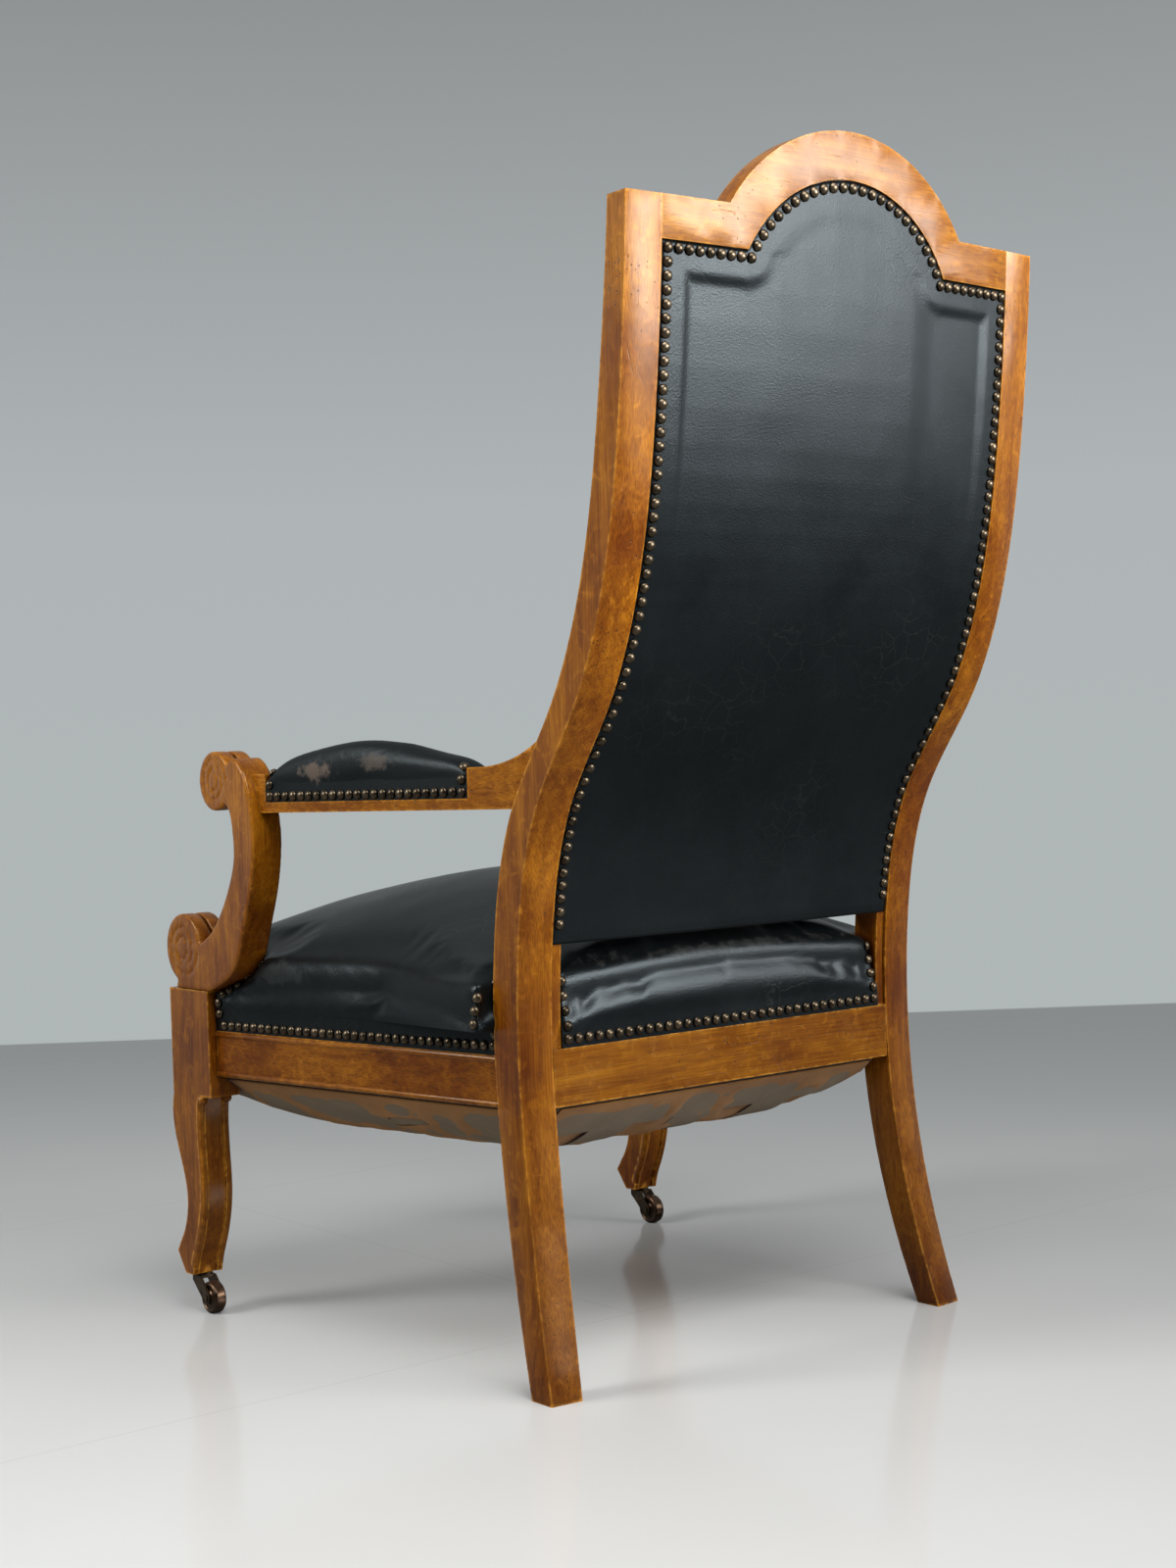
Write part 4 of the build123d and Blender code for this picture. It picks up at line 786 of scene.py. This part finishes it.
# Seat
# Coil springs under canvas, stuffed with hair and covered in one hide, drawn down over the rails
# and nailed along their rebate. The hide is scuffed where hands and knees rub its edges.
heel = 218.773 * mm
seat_voxel = 5.0 * mm
seat_skirt_top = 343.4 * mm
seat_cap = 5.0 * mm
seat_upper_level, seat_wall_level, seat_nailed_level = 372 * mm, 344 * mm, 345 * mm
seat_core_inset, seat_core_foot, seat_core_top = 40 * mm, 320 * mm, 392 * mm
seat_tucked_level, seat_tuck_reach, seat_tuck_most = 0.356, 12 * mm, 7 * mm
seat_hide = leather("seat_hide", (0.0042, 0.0060, 0.0068), 0.25, (
    # The first rub, a light band along the seat's rear top edge, is scuffing and also a painted highlight along that
    # edge.
    ((0.0, 0.150, 0.402), (0.23, 0.030, 0.010), 0.55, (0.085, 0.085, 0.080)),
    ((0.325, -0.20, 0.385), (0.05, 0.10, 0.018), 0.30, (0.060, 0.060, 0.056)),
    ((0.10, -0.10, 0.476), (0.16, 0.20, 0.030), 0.22, (0.050, 0.050, 0.047)),
))


def merged_copy(name, *names):
    """A new piece with joined-up copies of one or more CAD nodes' meshes."""
    form = bmesh.new()
    for node in names:
        form.from_mesh(nodes[node].data)
    bmesh.ops.remove_doubles(form, verts=form.verts, dist=arris_weld)
    return piece_from(name, form)


def points_of(piece):
    """A piece's points as an array."""
    flat = np.empty(len(piece.data.vertices) * 3)
    piece.data.vertices.foreach_get("co", flat)
    return flat.reshape(-1, 3)


def set_points(piece, points):
    """Writes an array of points back to a piece."""
    piece.data.vertices.foreach_set("co", points.astype(np.float32).ravel())
    piece.data.update()


def cut_level(piece, height, above):
    """Cuts a piece off level and closes the cut; keeps what is above it or below it."""
    form = bmesh.new()
    form.from_mesh(piece.data)
    bmesh.ops.bisect_plane(form, geom=form.verts[:] + form.edges[:] + form.faces[:], plane_co=(0, 0, height),
                           plane_no=(0, 0, 1), clear_inner=above, clear_outer=not above)
    bmesh.ops.triangle_fill(form, use_beauty=True, edges=[e for e in form.edges if e.is_boundary])
    bmesh.ops.recalc_face_normals(form, faces=form.faces)
    for e in form.edges:
        e.smooth = e.calc_face_angle(0.0) < radians(50)
    form.to_mesh(piece.data)
    form.free()


def skirted(piece, node, height):
    """Gives a cushion cut off level at a height the nailed lower edge of its hide, as thin as it is."""
    cut_level(piece, height, True)
    skirt = merged_copy("skirt", node)
    cut_level(skirt, height + 2.5 * mm, False)
    form = bmesh.new()
    form.from_mesh(piece.data)
    form.from_mesh(skirt.data)
    form.to_mesh(piece.data)
    form.free()
    bpy.data.objects.remove(skirt)


swell_frames = 20


def inflated(piece, held, pressure, cap):
    """The piece after its cloth is blown up a little, held at the points that are nailed down."""
    group = piece.vertex_groups.new(name="nailed")
    group.add([int(k) for k in np.nonzero(held)[0]], 1.0, "REPLACE")
    rest = points_of(piece)
    cloth = piece.modifiers.new("cloth", "CLOTH")
    cloth.settings.quality = 4
    cloth.settings.mass = 0.4
    cloth.settings.tension_stiffness = 30
    cloth.settings.compression_stiffness = 30
    cloth.settings.bending_stiffness = 3
    cloth.settings.use_pressure = True
    cloth.settings.uniform_pressure_force = pressure
    cloth.settings.vertex_group_mass = "nailed"
    cloth.settings.effector_weights.gravity = 0
    cloth.collision_settings.use_collision = False
    scene = bpy.context.scene
    for number in range(1, swell_frames + 1):
        scene.frame_set(number)
    seen = piece.evaluated_get(bpy.context.evaluated_depsgraph_get())
    flat = np.empty(len(seen.data.vertices) * 3)
    seen.data.vertices.foreach_get("co", flat)
    move = flat.reshape(-1, 3) - rest
    far = np.linalg.norm(move, axis=1, keepdims=True)
    move *= np.minimum(1.0, cap / np.maximum(far, 1e-9))
    piece.modifiers.remove(cloth)
    piece.vertex_groups.remove(group)
    set_points(piece, rest + move)
    scene.frame_set(1)


seat = merged_copy("seat_hide", "seat_cover", "seat_stuffing")
low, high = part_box("seat_stuffing")
core_low = Vector((low.x + seat_core_inset, low.y + seat_core_inset, seat_core_foot))
core_high = Vector((high.x - seat_core_inset, high.y - seat_core_inset, seat_core_top))
only(seat)
bpy.ops.object.mode_set(mode="EDIT")
bpy.ops.mesh.select_all(action="DESELECT")
bpy.ops.mesh.primitive_cube_add(size=1, location=(core_low + core_high) / 2, scale=core_high - core_low)
bpy.ops.object.mode_set(mode="OBJECT")
applied(seat, "REMESH", mode="VOXEL", voxel_size=seat_voxel)
seat_points = points_of(seat)
for name, level, passes in (("upper", seat_upper_level, 22), ("walls", seat_wall_level, 4)):
    group = seat.vertex_groups.new(name=name)
    group.add([int(k) for k in np.nonzero(seat_points[:, 2] > level)[0]], 1.0, "REPLACE")
    applied(seat, "SMOOTH", factor=0.5, iterations=passes, vertex_group=name)
seat.vertex_groups.clear()
seat_points = points_of(seat)
inflated(seat, seat_points[:, 2] < seat_nailed_level, 5.0, seat_cap)


def seat_folds(point):
    """How far the hide stands in at a point: gathers over the corners and slack along the sides."""
    x, y, z = point
    y -= heel
    side = ease((abs(x) - 0.21) / 0.05) * ease((z - 0.345) / 0.025) * ease((0.43 - z) / 0.03)
    front = ease((-0.42 - y) / 0.07)
    gathers = sin((z - 0.30) * 260 + y * 150) * front * side
    slack = noise.noise(Vector((x * 12, y * 9, z * 26))) * side * 2.2
    top = noise.noise(Vector((x * 9, y * 9, 4))) + 0.5 * noise.noise(Vector((x * 21, y * 21, 9)))
    return (0.8 * gathers + slack + 1.1 * top * ease((z - 0.39) / 0.03)) * mm


seat_points = points_of(seat)
seat_normals = np.array([v.normal for v in seat.data.vertices])
seat_inset = np.array([seat_folds(p) for p in seat_points])
seat_points -= seat_normals * seat_inset[:, None]
cover_surface = surface_of(nodes["seat_cover"])
for k in np.nonzero((seat_points[:, 2] < seat_tucked_level) & (np.abs(seat_normals[:, 2]) < 0.85))[0]:
    outward = Vector((seat_normals[k][0], seat_normals[k][1], 0)).normalized()
    place = Vector(seat_points[k])
    met, _, _, _ = cover_surface.ray_cast(place + outward * seat_tuck_reach, -outward, 2 * seat_tuck_reach)
    if met:
        short = (met - place).dot(outward) + 0.3 * mm
        if 0 < short < seat_tuck_most:
            seat_points[k] += np.array(outward) * short * ease((seat_tucked_level - place.z) / 0.008)
set_points(seat, seat_points)
applied(seat, "SUBSURF", levels=1, render_levels=1)
skirted(seat, "seat_cover", seat_skirt_top)
dressed(seat, seat_hide, "chair", "leather", "seat_cover", "seat_stuffing", "spring_canvas")

# Seat nails
# The same nails along the lower edge of the hide on all four sides, and up its cut edges beside
# the posts and the arm supports.
seat_surface = surface_of(seat)
side_out, rear_half = 0.34, 0.209
side_runs = (
    ((-0.505, 0.3245), (-0.097, 0.3275)),
    ((-0.0945, 0.3385), (-0.0925, 0.388)),
    ((-0.5125, 0.337), (-0.5120, 0.356), (-0.484, 0.371), (-0.457, 0.392)),
)


def wall_run(points):
    """Seats of nails on the seat's walls under a run of outside points, cast straight in."""
    made = []
    for point in run_of_points([Vector(p) for p in points], nail_pitch):
        if abs(point.x) > 0.3:
            inward = Vector((-1 if point.x > 0 else 1, 0, 0))
        else:
            inward = Vector((0, -1 if point.y > 0 else 1, 0))
        made.append(laid_on(seat_surface, point - inward * 0.4, inward))
    return made


seat_seats = []
rear_y = heel + 0.05
front_y = heel - 0.62
for side in (-1, 1):
    for run in side_runs:
        seat_seats += wall_run([(side * side_out, heel + y, z) for y, z in run])
seat_seats += wall_run([(-rear_half, rear_y, 0.3325), (rear_half, rear_y, 0.3325)])
for side in (-1, 1):
    seat_seats += wall_run([(side * rear_half, rear_y, 0.345), (side * rear_half, rear_y, 0.388)])
seat_seats += wall_run([(-0.292, front_y, 0.3255), (0.292, front_y, 0.3255)])
nail_row("seat_nails", seat_seats, nail_head, nail_brass, "bronze")

# Arm pads
# A shaped pad of hair on each arm under its own piece of hide, nailed along both sides and ends.
pad_voxel = 2.6 * mm
pad_seat = 592.0 * mm
pad_nailed_level, pad_skirt_top = 582 * mm, 586.0 * mm
pad_cap = 4.0 * mm
pad_row_height = 573.4 * mm
pad_row_inset = 7 * mm
pad_middle = 0.285
pad_hide = leather("pad_hide", (0.0040, 0.0058, 0.0065), 0.36, (
    ((0.318, -0.104, 0.599), (0.05, 0.038, 0.014), 0.95, (0.150, 0.110, 0.085)),
    ((0.306, -0.012, 0.605), (0.05, 0.032, 0.012), 0.80, (0.115, 0.092, 0.072)),
))
plain_pad_hide = leather("plain_pad_hide", (0.0045, 0.0064, 0.0072), 0.32, (
    ((-0.312, -0.11, 0.612), (0.05, 0.040, 0.012), 0.60, (0.110, 0.090, 0.070)),
))
for side, sign, finish in (("left_", 1, pad_hide), ("right_", -1, plain_pad_hide)):
    pad = merged_copy(side + "pad_hide", side + "arm_pad")
    applied(pad, "REMESH", mode="VOXEL", voxel_size=pad_voxel)
    applied(pad, "SMOOTH", factor=0.5, iterations=5)
    pad_points = points_of(pad)
    inflated(pad, pad_points[:, 2] < pad_nailed_level, 4.0, pad_cap)
    pad_points = points_of(pad)
    pad_low, pad_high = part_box(side + "arm_pad")
    share = (pad_points[:, 1] - pad_low.y) / (pad_high.y - pad_low.y)
    lower = np.array([1 - 0.32 * ease((t - 0.66) / 0.26) for t in share])
    over = np.maximum(0.0, pad_points[:, 2] - pad_seat)
    pad_points[:, 2] = np.minimum(pad_points[:, 2], pad_seat) + over * lower
    set_points(pad, pad_points)
    skirted(pad, side + "arm_pad", pad_skirt_top)
    dressed(pad, finish, "chair", "leather", side + "arm_pad")
    pad_surface = surface_of(pad)
    first = Vector((0, pad_low.y + pad_row_inset, pad_row_height))
    last = Vector((0, pad_high.y - pad_row_inset, pad_row_height))
    seats = []
    for direction in (-1, 1):
        for point in run_of_points([first, last], nail_pitch):
            place = (sign * pad_middle - direction * 0.2, point.y, point.z)
            seats.append(laid_on(pad_surface, place, (direction, 0, 0)))
    for direction, y, middle in ((1, pad_low.y, 0.307), (-1, pad_high.y, 0.259)):
        for k in range(3):
            place = (sign * middle + (k - 1) * 11 * mm, y - direction * 0.1, pad_row_height + 3 * mm)
            seats.append(laid_on(pad_surface, place, (0, direction, 0)))
        for k in range(2):
            place = (sign * 0.6, y + direction * pad_row_inset, pad_row_height + (k + 1) * 12 * mm)
            seats.append(laid_on(pad_surface, place, (-sign, 0, 0)))
    nail_row(side + "pad_nails", seats, nail_head, nail_brass, "bronze")
bpy.data.objects.remove(nail_head)

# Bottom cloth
# Jute cloth tacked under the rails; the webbing and springs bear down on it and it sags.
cloth_columns, cloth_rows = 161, 141
cloth_crease = 3.6 * mm
cloth_surface = surface_of(nodes["bottom_cloth"])
cloth_low, cloth_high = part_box("bottom_cloth")


def jute(name, light, dark):
    """Coarse jute cloth with an open weave, and painted shade in its creases and corners."""
    material, tree, shader = new_material(name)
    place = link("ShaderNodeTexCoord", tree).outputs["Object"]
    warp, weft = (link("ShaderNodeTexWave", tree, Vector=place, Scale=190.0, Distortion=1.2,
                       set_bands_direction=way).outputs[1] for way in "XY")
    weave = math(tree, "MULTIPLY", warp, weft)
    cloud = cloudy(tree, place, 14.0, 6.0, Roughness=0.7)
    colour = mixed(tree, "MIX", ramp(tree, cloud, ((0.30, 0.0), (0.75, 1.0))), (*dark, 1), (*light, 1))
    colour = mixed(tree, "MULTIPLY", ramp(tree, weave, ((0.0, 0.7), (0.5, 0.0))), colour, (0.45, 0.38, 0.30, 1))
    # Painted shade: an occlusion mask darkens the cloth in its creases and corners.
    corner = link("ShaderNodeAmbientOcclusion", tree, Distance=0.02, set_samples=4).outputs["AO"]
    colour = mixed(tree, "MULTIPLY", ramp(tree, corner, ((0.5, 1.0), (0.95, 0.0))), colour, (0.25, 0.20, 0.15, 1))
    tree.links.new(colour, shader.inputs["Base Color"])
    shader.inputs["Roughness"].default_value = 0.92
    shader.inputs["Sheen Weight"].default_value = 0.15
    bump = link("ShaderNodeBump", tree, Strength=0.6, Distance=0.0008, Height=weave).outputs[0]
    tree.links.new(bump, shader.inputs["Normal"])
    return material


def cloth_half(y):
    """Half the cloth's width at a depth, between the side rails."""
    return 0.327 - 0.158 * (y - heel + 0.520) - 0.011


def bottom_cloth_point(c, r):
    """A point of the bottom cloth: creased over the webbing, cut out at the legs and torn on one side."""
    y = cloth_low.y + 1 * mm + (cloth_high.y - cloth_low.y - 2 * mm) * r / (cloth_rows - 1)
    x = cloth_half(y) * (-1 + 2 * c / (cloth_columns - 1))
    if abs(x) > 0.3005 and y < heel - 0.5195 or abs(x) > 0.2155 and y > heel - 0.0965:
        return None
    if (x - 0.235) ** 2 / 0.006 ** 2 + (y + 0.10 + (x - 0.235) * 2) ** 2 / 0.060 ** 2 < 1:
        return None
    point, _ = laid_on(cloth_surface, (x, y, -0.5), (0, 0, 1))
    inside = min(1.0, min(cloth_half(y) - abs(x), y - cloth_low.y, cloth_high.y - y) / (30 * mm))
    ridge = 1 - abs(noise.noise(Vector((x * 9 + y * 5, y * 9 - x * 4, 2))) * 2)
    ridge += 0.5 * (1 - abs(noise.noise(Vector((x * 24, y * 24, 5))) * 2))
    lift = cloth_crease * (1.5 - ridge) * ease(inside)
    return Vector((x, y, point.z + max(0.0, lift)))


bottom_cloth = grid_piece("bottom_jute", cloth_columns, cloth_rows, bottom_cloth_point)
applied(bottom_cloth, "SOLIDIFY", thickness=0.8 * mm, offset=0.0)
under_jute = jute("bottom_jute_cloth", (0.72, 0.34, 0.075), (0.40, 0.17, 0.035))
dressed(bottom_cloth, under_jute, "chair", "jute", "bottom_cloth")

# Casters
# A dark bronze socket in the foot of each front leg, a horn that turns in it and a bronze wheel on
# its axle, all worn and dirty.
caster_bronze = brass("caster_bronze", (0.035, 0.026, 0.018), (0.16, 0.115, 0.07))
wheel_bronze = brass("wheel_bronze", (0.05, 0.032, 0.020), (0.20, 0.12, 0.075))
for side in ("left_", "right_"):
    for part in ("caster_socket", "caster_horn", "caster_axle"):
        eased(nodes[side + part], caster_bronze, 0.4 * mm)
    eased(nodes[side + "caster_wheel"], wheel_bronze, 0.3 * mm)

# Webbing and springs
# Jute webbing and waisted coils of iron wire, all inside the seat and the back.
webbing_jute = jute("webbing_jute", (0.40, 0.30, 0.18), (0.26, 0.18, 0.10))
for name in ("back_webbing", "seat_webbing"):
    eased(nodes[name], webbing_jute, 0)
eased(nodes["seat_springs"], brass("spring_wire", (0.10, 0.09, 0.08), (0.25, 0.23, 0.21)), 0)
